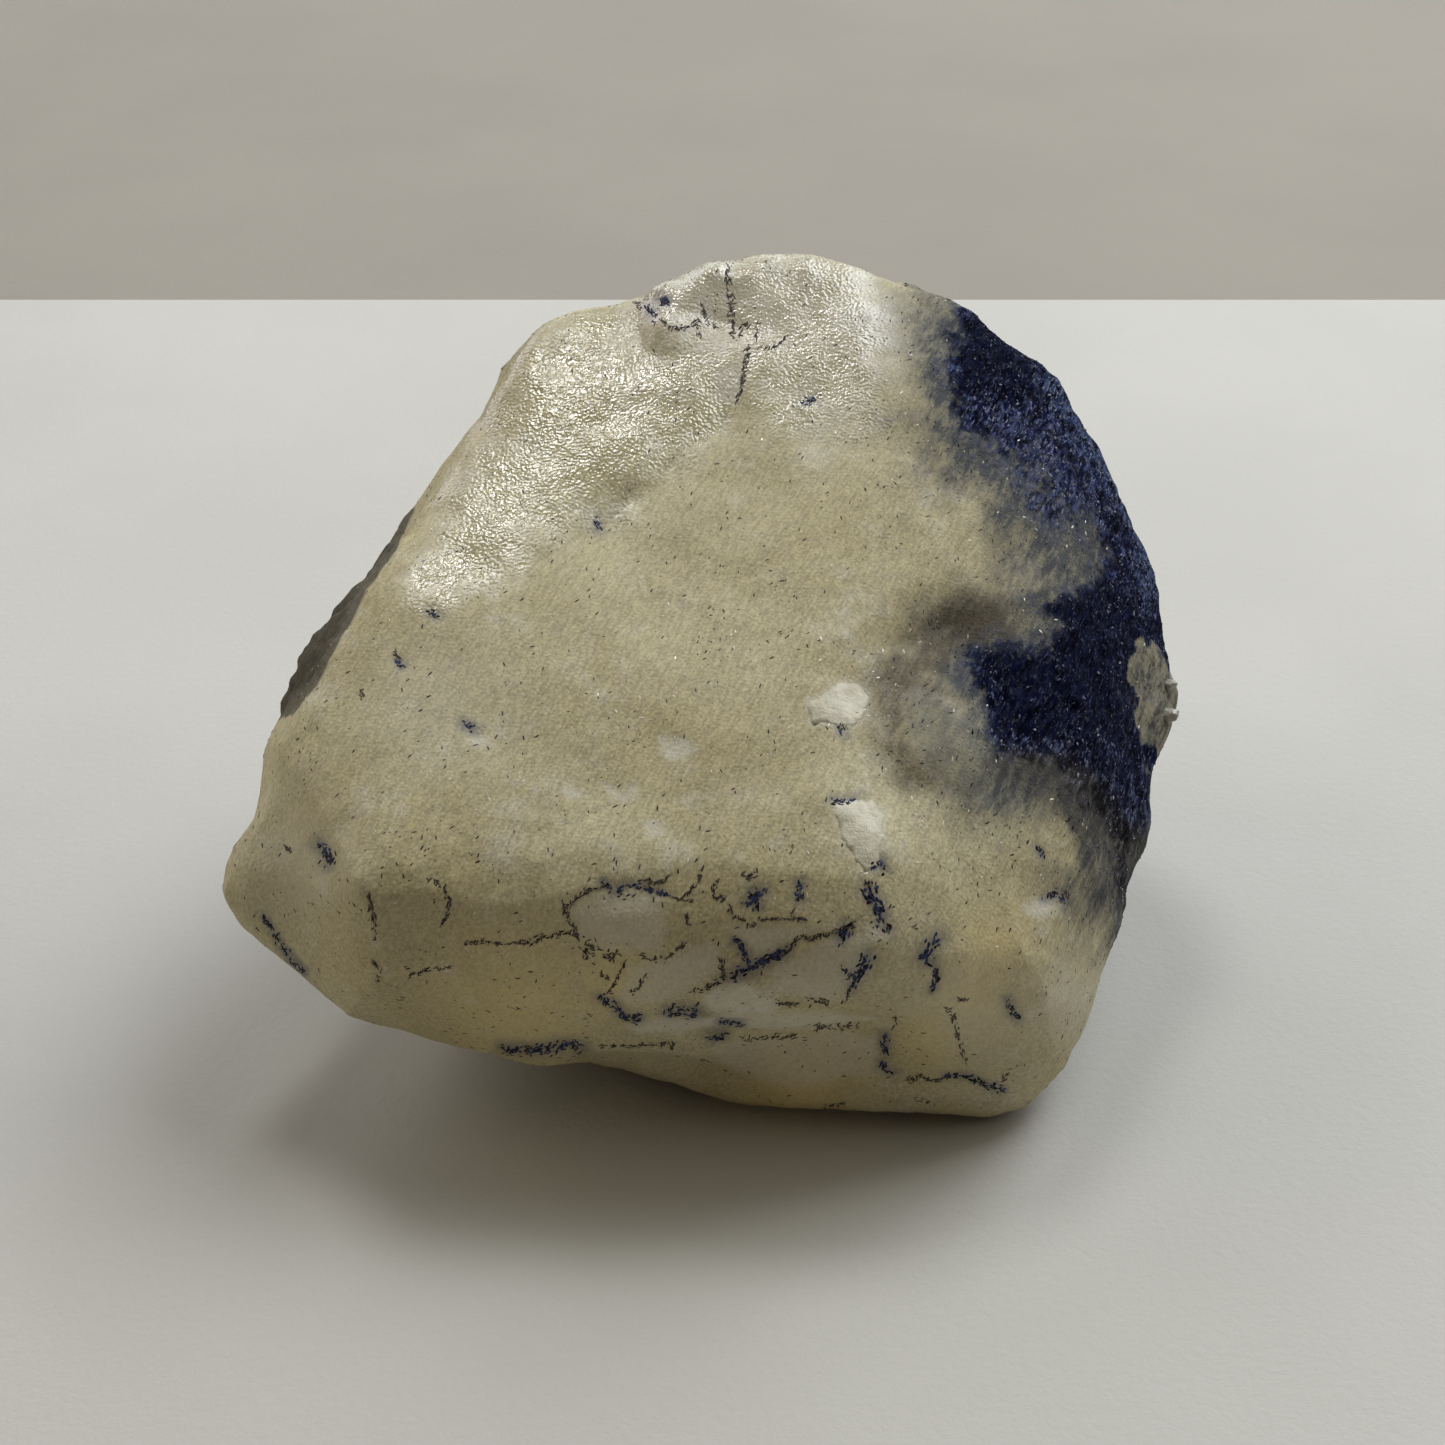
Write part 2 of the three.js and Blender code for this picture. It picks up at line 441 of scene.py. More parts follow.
# Spots in the front view. The strength of the swells is their height in millimetres.
BLUE_VEILS: Spots = [
    ((1030, 480), 46, 0.3), ((1075, 520), 30, 0.22), ((1052, 790), 34, 0.3), ((1010, 430), 26, 0.12),
    ((1104, 860), 26, 0.15), ((1130, 700), 20, 0.2),
]
BLUE_CORES: Spots = [
    ((985, 352), 34, 1.0), ((1065, 665), 52, 1.0), ((1030, 700), 40, 1.0), ((1105, 620), 44, 1.0),
    ((1095, 700), 40, 1.0), ((1010, 650), 28, 1.0), ((1077, 707), 26, 1.0),
]
HAZE_SPOTS: Spots = [
    ((1066, 562), 40, 0.22), ((985, 585), 50, 0.12), ((915, 372), 44, -0.1), ((930, 450), 50, 0.1),
    ((1010, 792), 34, 0.3), ((1056, 838), 23, -0.55), ((948, 640), 34, 0.3),
]
LIFT_SPOTS: Spots = [
    ((1004, 424), 26, 1.0), ((1034, 462), 34, 1.0), ((1006, 452), 24, 1.0), ((1062, 506), 26, 1.0),
    ((1024, 745), 30, 1.0), ((1130, 600), 26, 1.0),
]
# Milky spots; those near the top are also painted light that brightens the crest.
MILK_AND_CREST_LIGHT_SPOTS: Spots = [
    ((700, 300), 60, 1.3), ((775, 320), 60, 1.0), ((790, 285), 50, 1.0), ((850, 330), 56, 1.0),
    ((830, 400), 48, 0.6), ((305, 860), 60, 0.6), ((985, 1010), 60, 0.5), ((1065, 1000), 44, 0.7),
    ((430, 700), 80, 0.3), ((660, 370), 60, 0.4),
]
# Painted glow of light shining through thin parts of the stone, in warm honey colour.
HONEY_GLOW_SPOTS: Spots = [
    ((978, 998), 48, 1.0), ((994, 941), 34, 1.0), ((520, 1005), 70, 1.0), ((610, 975), 40, 1.0),
    ((930, 1040), 30, 1.0), ((800, 1085), 60, 1.0),
]
SWELLS: Spots = [
    ((652, 318), 34, 0.5), ((700, 318), 34, 0.06), ((748, 318), 34, 0.31), ((844, 318), 34, 0.38),
    ((652, 352), 34, 0.1), ((700, 352), 34, 0.16), ((748, 352), 34, 0.26), ((796, 352), 34, 0.2),
    ((652, 386), 34, 0.14), ((700, 386), 34, 0.29), ((748, 386), 34, 0.33), ((700, 420), 34, 0.08),
    ((884, 700), 24, 0.34), ((906, 712), 20, 0.16), ((882, 672), 20, 0.14), ((1034, 362), 20, 0.5),
    ((748, 420), 34, 0.24), ((748, 268), 22, 0.2), ((712, 268), 22, 0.32), ((652, 478), 42, 0.14),
]
# Edges and furrows in the front view: height in millimetres, reach in pixels, and route.
RIDGES: list[tuple[float, float, Route]] = [
    (0.26, 15, [(283, 745), (318, 800), (345, 850), (370, 905), (386, 962), (352, 1010)]),
    (0.28, 13, [(1060, 795), (1072, 814), (1088, 855), (1099, 892), (1107, 921)]),
    (0.08, 24, [(885, 290), (888, 380), (893, 460), (905, 520)]),
    (0.12, 16, [(895, 462), (938, 469), (971, 492), (1014, 512), (1041, 528)]),
    (-0.09, 7, [(643, 298), (740, 330), (749, 363), (726, 419), (666, 469), (600, 530), (540, 560)]),
    (0.14, 20, [(400, 862), (450, 898), (520, 905), (570, 888), (640, 872), (700, 864), (770, 868),
                (840, 880)]),
    (-0.14, 14, [(905, 520), (880, 600), (872, 650), (905, 640), (950, 622)]),
    (0.18, 12, [(700, 996), (726, 980), (751, 983), (778, 1008)]),
    (-0.16, 8, [(700, 1034), (780, 1034), (860, 1024)]),
    (-0.12, 7, [(739, 975), (764, 959), (799, 941), (815, 937)]),
    (0.16, 14, [(880, 780), (886, 840), (868, 880), (880, 918)]),
    (0.15, 14, [(1008, 905), (1020, 950), (1044, 990), (1050, 1050)]),
    (-0.12, 10, [(437, 880), (452, 905), (440, 930), (380, 960)]),
]
# Veins in the front view: weight and route.
NAVY_ROUTES: list[tuple[float, Route]] = [
    # main diagonal vein and its neighbours
    (2.0, [(728, 978), (744, 971), (756, 965), (768, 960), (784, 954)]),
    (1.4, [(733, 941), (741, 946), (747, 958)]),
    (2.2, [(668, 1013), (680, 1011), (696, 1013)]),
    (2.0, [(619, 1012), (628, 1017), (639, 1018)]),
    (1.6, [(598, 996), (608, 1001), (619, 1006)]),
    (1.0, [(628, 884), (640, 887), (652, 890), (668, 895)]),
    (1.3, [(603, 882), (609, 888)]),
    (1.3, [(617, 892), (624, 887)]),
    (1.7, [(747, 903), (756, 898), (763, 892)]),
    (1.5, [(752, 892), (757, 907)]),
    (1.2, [(799, 882), (798, 893), (801, 901)]),
    (1.2, [(720, 1023), (741, 1024)]),
    # chain down the right of the front
    (1.6, [(872, 868), (879, 862), (883, 870)]),
    (2.4, [(869, 890), (873, 899), (877, 908), (881, 919)]),
    (1.4, [(886, 925), (889, 932)]),
    (2.2, [(846, 928), (842, 937)]),
    (2.2, [(868, 957), (862, 969), (856, 979), (852, 987)]),
    (1.2, [(847, 971), (851, 980)]),
    (1.4, [(884, 1036), (886, 1052)]),
    (1.3, [(881, 1062), (885, 1069), (893, 1073)]),
    (2.6, [(939, 937), (931, 946), (923, 957), (930, 960)]),
    (1.4, [(935, 968), (938, 978), (931, 990)]),
    (1.4, [(1008, 1001), (1011, 1009), (1018, 1019)]),
    (1.5, [(944, 1077), (962, 1076), (974, 1079), (986, 1085), (1003, 1089)]),
    (1.1, [(1038, 848), (1042, 856)]),
    (1.2, [(1046, 897), (1056, 892), (1064, 899)]),
    # lip
    (2.0, [(500, 1049), (522, 1050), (540, 1050), (556, 1047), (572, 1045), (583, 1049)]),
    (1.6, [(713, 1038), (724, 1036)]),
    # crest
    (1.5, [(648, 311), (656, 318)]),
    (1.2, [(661, 298), (669, 303), (663, 305)]),
    (1.2, [(800, 403), (814, 400)]),
    (1.3, [(838, 722), (844, 732)]),
    (1.1, [(832, 801), (846, 802), (856, 799)]),
    # left of the large face and behind the nose
    (2.2, [(321, 846), (327, 853), (329, 865)]),
    (1.6, [(429, 612), (437, 616)]),
    (1.2, [(464, 724), (473, 730)]),
    (1.2, [(596, 520), (599, 529)]),
    (1.2, [(396, 661), (402, 667)]),
    (1.0, [(264, 916), (288, 956), (303, 972)]),
]
BROWN_ROUTES: list[tuple[float, Route]] = [
    # veins around the pale panels of the lower front
    (0.9, [(520, 942), (536, 942), (541, 937), (556, 935), (572, 932), (578, 937)]),
    (0.8, [(562, 901), (564, 910), (569, 918), (574, 926), (577, 938)]),
    (1.3, [(582, 943), (590, 945), (596, 950)]),
    (1.4, [(583, 951), (587, 958), (594, 957)]),
    (1.2, [(601, 955), (607, 958), (614, 953), (617, 960)]),
    (1.0, [(598, 970), (603, 976), (609, 981)]),
    (0.5, [(563, 911), (575, 900), (590, 890), (606, 886)]),
    (0.5, [(626, 960), (619, 973), (616, 982), (607, 994)]),
    (0.6, [(641, 957), (655, 959), (667, 957), (677, 950), (686, 942)]),
    (0.5, [(703, 868), (697, 884), (686, 895), (678, 901)]),
    (0.6, [(631, 994), (640, 987), (646, 977)]),
    (0.8, [(694, 991), (706, 988), (718, 982), (726, 977), (722, 968), (720, 959)]),
    (0.9, [(784, 954), (791, 947), (800, 938), (812, 939), (824, 935), (840, 930), (856, 924)]),
    (0.7, [(718, 880), (713, 889), (714, 897), (725, 899)]),
    (0.7, [(728, 908), (733, 916), (744, 920), (754, 925)]),
    (0.8, [(741, 873), (748, 877), (756, 874)]),
    (0.7, [(688, 912), (686, 920), (692, 925)]),
    (0.5, [(672, 896), (684, 901), (694, 900)]),
    (0.4, [(756, 919), (780, 919), (806, 919)]),
    (0.6, [(797, 906), (793, 914), (792, 920)]),
    (0.8, [(775, 1002), (788, 1004), (800, 1005)]),
    (0.9, [(807, 1001), (822, 1001), (829, 1007)]),
    (0.8, [(742, 1038), (760, 1039), (776, 1037), (797, 1036)]),
    (1.0, [(812, 1027), (827, 1026), (846, 1027), (860, 1022)]),
    (0.6, [(600, 1047), (625, 1046), (645, 1045), (668, 1044)]),
    (0.8, [(700, 1057), (708, 1063)]),
    (0.7, [(671, 1042), (673, 1050)]),
    (0.6, [(640, 880), (655, 883), (664, 881), (669, 875)]),
    (0.8, [(867, 880), (869, 884)]),
    (0.6, [(842, 1004), (848, 995), (850, 988)]),
    (0.6, [(896, 1018), (893, 1030)]),
    (0.7, [(944, 1008), (953, 1015), (957, 1030), (960, 1046), (966, 1062)]),
    (0.8, [(906, 1081), (920, 1076), (932, 1080), (944, 1077)]),
    (0.7, [(914, 1099), (931, 1101)]),
    (0.8, [(958, 998), (967, 1000)]),
    (0.7, [(1013, 1069), (1002, 1080)]),
    (0.7, [(1063, 889), (1068, 897), (1060, 903)]),
    (0.6, [(823, 1107), (846, 1104)]),
    # crest
    (0.8, [(727, 264), (729, 288), (732, 310), (733, 332)]),
    (1.3, [(731, 334), (740, 336), (746, 322)]),
    (0.6, [(759, 322), (754, 340)]),
    (0.7, [(750, 344), (746, 360), (743, 376), (741, 391), (735, 406)]),
    (0.7, [(660, 320), (668, 327), (677, 329), (691, 326), (698, 322), (700, 336)]),
    (0.6, [(760, 348), (771, 349), (780, 343), (788, 336)]),
    (0.8, [(636, 304), (643, 309)]),
    (0.6, [(702, 303), (706, 320), (716, 330)]),
    # left
    (0.7, [(369, 894), (371, 908), (375, 924), (374, 940)]),
    (0.7, [(428, 878), (441, 886), (450, 901), (446, 917), (439, 928)]),
    (0.6, [(409, 976), (430, 969), (450, 967)]),
    (0.8, [(284, 846), (289, 852)]),
    (0.7, [(372, 960), (380, 972), (376, 984)]),
    (0.6, [(463, 944), (480, 941), (500, 944), (520, 942)]),
    (0.8, [(360, 690), (364, 698)]),
    (0.8, [(395, 652), (400, 657)]),
]


@dataclass(frozen=True)
class Patch:
    """Outlines of a marking in the front view.

    The marking rises over the depths of its edge, in pixels. The edge wanders by the ragged share
    of the drift that all the markings have in common.
    """

    outlines: list[Route]
    edge: Range
    ragged: float
    strength: float = 1.0

    def cover(self, pixels: np.ndarray, wander: np.ndarray) -> np.ndarray:
        """Share of the marking at N places of the front view, whose drift is wander."""
        depths = (depth_inside(pixels, outline) + self.ragged * wander for outline in self.outlines)
        return self.strength * strongest(soft_step(depth, *self.edge) for depth in depths)


PATCHES: dict[Mark, Patch] = {
    Mark.LENS: Patch([LENS], (-2, 2), 0.15),
    Mark.CHIP: Patch(CHIPS, (-5, 3), 0.15),
    Mark.PANEL: Patch(PANELS, (-4, 8), 0.3, 0.6),
    Mark.GLOSS: Patch(GLOSSY, (-55, 30), 1.6),
    Mark.BROWN: Patch([BROWN_PATCH], (-24, 18), 0.6),
    Mark.ASH: Patch([ASHES], (-14, 16), 0.7),
}
# spots of a marking, and the share of the common drift that moves them
SPOTTED: tuple[tuple[Mark, Spots, float], ...] = (
    (Mark.HONEY_TINT_AND_GLOW, HONEY_GLOW_SPOTS, 0.0), (Mark.DENSE, BLUE_CORES, 0.0), (Mark.PANEL, MILK_AND_CREST_LIGHT_SPOTS, 1.0),
    (Mark.LIFT, LIFT_SPOTS, 0.6),
)
# markings of the hidden sides: their noise, and the values of it over which they rise
HIDDEN: dict[Mark, tuple[Waves, Range]] = {
    Mark.BROWN: (Waves(9 * MM, 3, 19.0), (0.25, 0.6)),
    Mark.HONEY_TINT_AND_GLOW: (Waves(12 * MM, 2, 23.0), (0.2, 0.6)),
    Mark.PANEL: (Waves(7 * MM, 2, 41.0), (0.15, 0.3)),
    Mark.GLOSS: (Waves(10 * MM, 2, 47.0), (0.0, 0.4)),
    Mark.DENSE: (Waves(8 * MM, 2, 53.0), (-0.1, 0.5)),
    Mark.ASH: (Waves(9 * MM, 4, 59.0), (0.15, 0.6)),
    Mark.LIFT: (Waves(6 * MM, 3, 67.0), (0.0, 0.5)),
}


@dataclass
class Markings:
    """Paints the markings of the stone on the points of a mesh.

    The side that the front view shows is painted from its outlines, and the rest from noise.
    Lengths are in pixels of the front view, unless they are in millimetres.
    """

    # front: the drift that all the markings share, and the edges of the blue layer
    fine: Waves = Waves(1.6 * MM)
    broad: Waves = Waves(5 * MM)
    ragged: float = 13.0
    blue_edge: float = 26.0
    haze_reach: float = 98.0
    haze_fall: float = 1.3
    # front: the lens is clearer than what lies around it and has a pale lip
    lens_clears_haze: float = 0.3
    lens_clears_brown: float = 0.8
    lip_share: float = 0.7
    lip_width: float = 3.5
    lip_away_from_blue: Range = (-22, -40)
    # front: the painted highlight along the right rim of the blue, the rind and the veins
    rim_width: float = 17.0
    rim_highlight_ragged: float = 0.4
    rind_start: float = -2.0
    rind_depth: float = 15.0
    vein_stain: float = 6.0
    vein_spread: float = 0.5
    thin_ragged: float = 0.2
    # hidden sides: blue and haze grow to the right, the rind to the left, none of them below
    cloud: Waves = Waves(15 * MM, 4, 7.3)
    cloud_flatness: Place = (1, 1, 1.7)
    wisps: Waves = Waves(4 * MM, 3, 29.0, 0.25)
    rind_waves: Waves = Waves(5 * MM, 5, 3.7, 0.5)
    blue_right: float = 0.8
    blue_under: float = 1.2
    haze_right: float = 0.75
    haze_under: float = 0.7
    rind_left: float = 1.1
    rightwards: Range = (-14 * MM, 16 * MM)
    leftwards: Range = (7 * MM, 17 * MM)
    facing_down: Range = (0.35, 0.8)
    blue_cut: Range = (-0.05, 0.30)
    haze_cut: Range = (-0.5, 0.3)
    rind_cut: Range = (0.30, 0.75)
    # both: the pale growth at the right edge, and how the markings hold each other back
    growth_centre: Place = (22.4 * MM, 0.2 * MM, 14.5 * MM)
    growth_sides: Place = (1, 1, 0.9)
    growth_reach: float = 2.9 * MM
    growth_ragged: float = 0.45
    growth_edge: float = 0.35 * MM
    growth_clears_blue: float = 0.93
    ash_clears_blue: float = 0.12
    rind_clears_blue: Range = (0.0, 0.2)
    front_turn: Range = (-0.45, -0.05)

    def seen(self, points: np.ndarray, normals: np.ndarray) -> np.ndarray:
        """How far places of the stone face the front view.

        Args:
            points: N by 3 places on the stone, in metres.
            normals: N by 3 unit normals there.

        Returns:
            N values from 0 to 1.
        """
        to_eye = VIEW.eye - points
        to_eye /= np.linalg.norm(to_eye, axis=1)[:, None]
        return soft_step((normals * to_eye).sum(axis=1), *self.front_turn)

    def paint(self, points: np.ndarray, normals: np.ndarray) -> dict[Mark, np.ndarray]:
        """Works out every marking.

        Args:
            points: N by 3 places on the stone, in metres.
            normals: N by 3 unit normals there.

        Returns:
            N values from 0 to 1 for each marking.
        """
        seen = self.seen(points, normals)
        fine = self.fine.at(points)
        front = self.front(VIEW.project(points), self.ragged * (fine + self.broad.at(points)))
        hidden = self.hidden(points, normals)
        marks = {mark: seen * front[mark] + (1 - seen) * hidden[mark] for mark in Mark}
        marks[Mark.BLUE] *= 1 - self.ash_clears_blue * marks[Mark.ASH]
        marks[Mark.GLOSS] *= (1 - marks[Mark.BLUE]) * (1 - marks[Mark.RIND])
        away = np.linalg.norm((points - self.growth_centre) * self.growth_sides, axis=1)
        reach = self.growth_reach * (1 + self.growth_ragged * fine)
        growth = soft_step(reach - away, -self.growth_edge, self.growth_edge)
        marks[Mark.BLUE] *= 1 - self.growth_clears_blue * growth
        marks[Mark.BLUE] *= 1 - soft_step(marks[Mark.RIND], *self.rind_clears_blue)
        marks[Mark.HAZE] *= 1 - growth
        marks[Mark.PALE] = growth
        return marks

    def front(self, pixels: np.ndarray, wander: np.ndarray) -> dict[Mark, np.ndarray]:
        """Paints what the front view shows.

        Args:
            pixels: N by 2 places in the front view.
            wander: Drift of every edge there.

        Returns:
            N values for each marking.
        """
        marks = {mark: np.zeros(len(pixels)) for mark in Mark}
        for mark, patch in PATCHES.items():
            marks[mark] = patch.cover(pixels, wander)
        for mark, spots, drift in SPOTTED:
            moved = pixels + drift * wander[:, None]
            near = (share * spot(moved, centre, radius) for centre, radius, share in spots)
            marks[mark] = np.maximum(marks[mark], np.minimum(strongest(near), 1.0))
        # painted highlight: strongest along the right rim of the blue
        from_rim_highlight = line_distance(pixels, RIM_HIGHLIGHT_ROUTE) + self.rim_highlight_ragged * wander
        marks[Mark.RIM_HIGHLIGHT] = np.exp(-((from_rim_highlight / self.rim_width) ** 2))
        rind = depth_inside(pixels, RIND_EDGE) + self.thin_ragged * wander - self.rind_start
        marks[Mark.RIND] = np.clip(rind / self.rind_depth, 0, 1)
        for width, route in NAVY_ROUTES:
            reach = self.vein_stain * (self.vein_spread + width)
            away = line_distance(pixels, route) + self.thin_ragged * wander
            marks[Mark.VEIN] = np.maximum(marks[Mark.VEIN], 1 - soft_step(away, 0, reach))
        self.add_blue(marks, pixels, wander)
        return marks

    def add_blue(self, marks: dict[Mark, np.ndarray], pixels: np.ndarray, wander: np.ndarray) -> None:
        """Paints the blue layer of the front view, its haze, and the lens that interrupts the haze.

        Args:
            marks: The other markings of the front view, which are changed.
            pixels: N by 2 places in the front view.
            wander: Drift of every edge there.
        """
        layer = depth_inside(pixels, BLUE_LAYER) + wander
        marks[Mark.BLUE] = soft_step(layer, -self.blue_edge, self.blue_edge)
        for centre, radius, share in BLUE_VEILS:
            marks[Mark.BLUE] *= 1 - share * spot(pixels, centre, radius)
        haze = np.clip((layer + wander) / self.haze_reach + 1, 0, 1) ** self.haze_fall
        for centre, radius, share in HAZE_SPOTS:
            haze += share * spot(pixels + wander[:, None], centre, radius)
        marks[Mark.HAZE] = np.clip(haze, 0, 1) * (1 - self.lens_clears_haze * marks[Mark.LENS])
        marks[Mark.BROWN] *= 1 - self.lens_clears_brown * marks[Mark.LENS]
        edge = depth_inside(pixels, LENS) + PATCHES[Mark.LENS].ragged * wander
        lip = self.lip_share * np.exp(-((edge / self.lip_width) ** 2))
        lip *= soft_step(layer, *self.lip_away_from_blue)
        marks[Mark.CHIP] = np.maximum(marks[Mark.CHIP], lip) * (1 - marks[Mark.BLUE])

    def hidden(self, points: np.ndarray, normals: np.ndarray) -> dict[Mark, np.ndarray]:
        """Paints the back, the far side of the left ridge and the underside.

        Args:
            points: N by 3 places on the stone, in metres.
            normals: N by 3 unit normals there.

        Returns:
            N values for each marking.
        """
        marks = {mark: np.zeros(len(points)) for mark in Mark}
        for mark, (waves, cut) in HIDDEN.items():
            marks[mark] = soft_step(waves.at(points), *cut)
        right = soft_step(points[:, 0], *self.rightwards)
        left = soft_step(-points[:, 0], *self.leftwards)
        under = soft_step(-normals[:, 2], *self.facing_down)
        cloud = self.cloud.at(points * self.cloud_flatness)
        blue = cloud + self.blue_right * right + self.wisps.at(points) - self.blue_under * under
        haze = cloud + self.haze_right * right - self.haze_under * under
        marks[Mark.BLUE] = soft_step(blue, *self.blue_cut)
        marks[Mark.HAZE] = soft_step(haze, *self.haze_cut)
        marks[Mark.BROWN] *= 1 - marks[Mark.BLUE]
        rind = self.rind_waves.at(points) + self.rind_left * left
        marks[Mark.RIND] = soft_step(rind, *self.rind_cut) * (1 - under)
        return marks


@dataclass
class FineSurface:
    """The finished stone, its markings, and the way down to it from the front view."""

    stone: bpy.types.Object
    points: np.ndarray
    marks: dict[Mark, np.ndarray]
    pixel: float = 0.0507 * MM

    def __post_init__(self) -> None:
        """Prepares the search for places on the stone."""
        self.tree = BVHTree.FromObject(self.stone, bpy.context.evaluated_depsgraph_get())

    def land(self, pixel: Pixel) -> tuple[Vector, Vector] | None:
        """Place and normal of the stone at a pixel of the front view, or None beside it."""
        place, normal, _, _ = self.tree.ray_cast(*VIEW.ray(pixel))
        return None if place is None else (place, normal)


# ------------------------------------------------------------------------------ finishes


@dataclass(frozen=True)
class Speckle:
    """A noise pattern of a finish.

    Its coarsest lumps are spacing metres apart. Values between the ends of cut are spread over the
    range to, and without a cut the noise is used as it is.
    """

    spacing: float
    detail: float = 3.0
    rough: float = 0.55
    cut: Range | None = None
    to: Range = (0.0, 1.0)
    streaked: bool = False


class FinishGraph(Graph):
    """The nodes of a new material, with the coordinates that its patterns follow."""

    def __init__(self, name: str) -> None:
        """Starts the material.

        Args:
            name: Name of the material.
        """
        self.material = bpy.data.materials.new(name)
        self.material.use_nodes = True
        super().__init__(self.material.node_tree)
        self.shader = self.tree.nodes["Principled BSDF"]
        self.where = self.add("ShaderNodeTexCoord").outputs["Object"]
        self.streaked = self.where

    def stretch(self, turn: Place, sides: Place) -> None:
        """Draws the streaked patterns out along one direction of the rock."""
        inputs = {"Vector": self.where, "Rotation": turn, "Scale": sides}
        self.streaked = self.add("ShaderNodeMapping", inputs, vector_type="TEXTURE").outputs[0]

    def mark(self, name: str) -> Socket:
        """Reads a value painted on the surface."""
        return self.add("ShaderNodeAttribute", attribute_name=name).outputs["Fac"]

    def span(self, value: object, low: float, high: float, to: Range = (0.0, 1.0)) -> Socket:
        """Maps a number smoothly to another range.

        Args:
            value: Number or socket.
            low: Number that gives the first end of the range.
            high: Number that gives the second end.
            to: The two ends.

        Returns:
            The mapped number.
        """
        inputs = {"Value": value, "From Min": low, "From Max": high, "To Min": to[0], "To Max": to[1]}
        node = self.add("ShaderNodeMapRange", inputs, interpolation_type="SMOOTHSTEP")
        return node.outputs["Result"]

    def speckle(self, pattern: Speckle) -> Socket:
        """Adds a noise pattern.

        Args:
            pattern: The pattern.

        Returns:
            Its values.
        """
        inputs = {"Vector": self.streaked if pattern.streaked else self.where,
                  "Scale": 1 / pattern.spacing, "Detail": pattern.detail, "Roughness": pattern.rough}
        values = self.add("ShaderNodeTexNoise", inputs).outputs["Fac"]
        return values if pattern.cut is None else self.span(values, *pattern.cut, pattern.to)

    def fade(self, value: Socket, share: Socket, to: Range) -> Socket:
        """Scales a value, by the first end of a range where the share is 0, by the second at 1."""
        return self.math("MULTIPLY", value, self.span(share, 0.0, 1.0, to))

    def mix(self, share: Socket, first: Socket, second: Socket) -> Socket:
        """Mixes two numbers."""
        return self.add("ShaderNodeMix", {0: share, 2: first, 3: second}).outputs[0]

    def blend(self, share: object, first: object, second: object, how: str = "MIX") -> Socket:
        """Mixes two colours.

        Args:
            share: How much of the second colour, from 0 to 1.
            first: Colour or socket.
            second: Colour or socket.
            how: Blend type.

        Returns:
            The mixed colour.
        """
        node = self.add("ShaderNodeMix", data_type="RGBA", blend_type=how)
        for index, value in ((0, share), (6, first), (7, second)):
            self.put(node.inputs[index], value if not isinstance(value, tuple) else (*value, 1.0))
        return node.outputs[2]

    def shade(self, colour: object, factor: Socket) -> Socket:
        """Multiplies a colour by a number."""
        grey = self.add("ShaderNodeCombineXYZ", {0: factor, 1: factor, 2: factor}).outputs[0]
        return self.blend(1.0, colour, grey, "MULTIPLY")

    def relief(self, height: Socket) -> Socket:
        """Normals of a height field, in metres."""
        return self.add("ShaderNodeBump", {"Distance": 1.0, "Height": height}).outputs["Normal"]

    def done(self, inputs: dict[str, object]) -> bpy.types.Material:
        """Sets inputs of the shader.

        Args:
            inputs: Values or sockets by the names of the inputs.

        Returns:
            The material.
        """
        for name, value in inputs.items():
            self.put(self.shader.inputs[name], value)
        return self.material


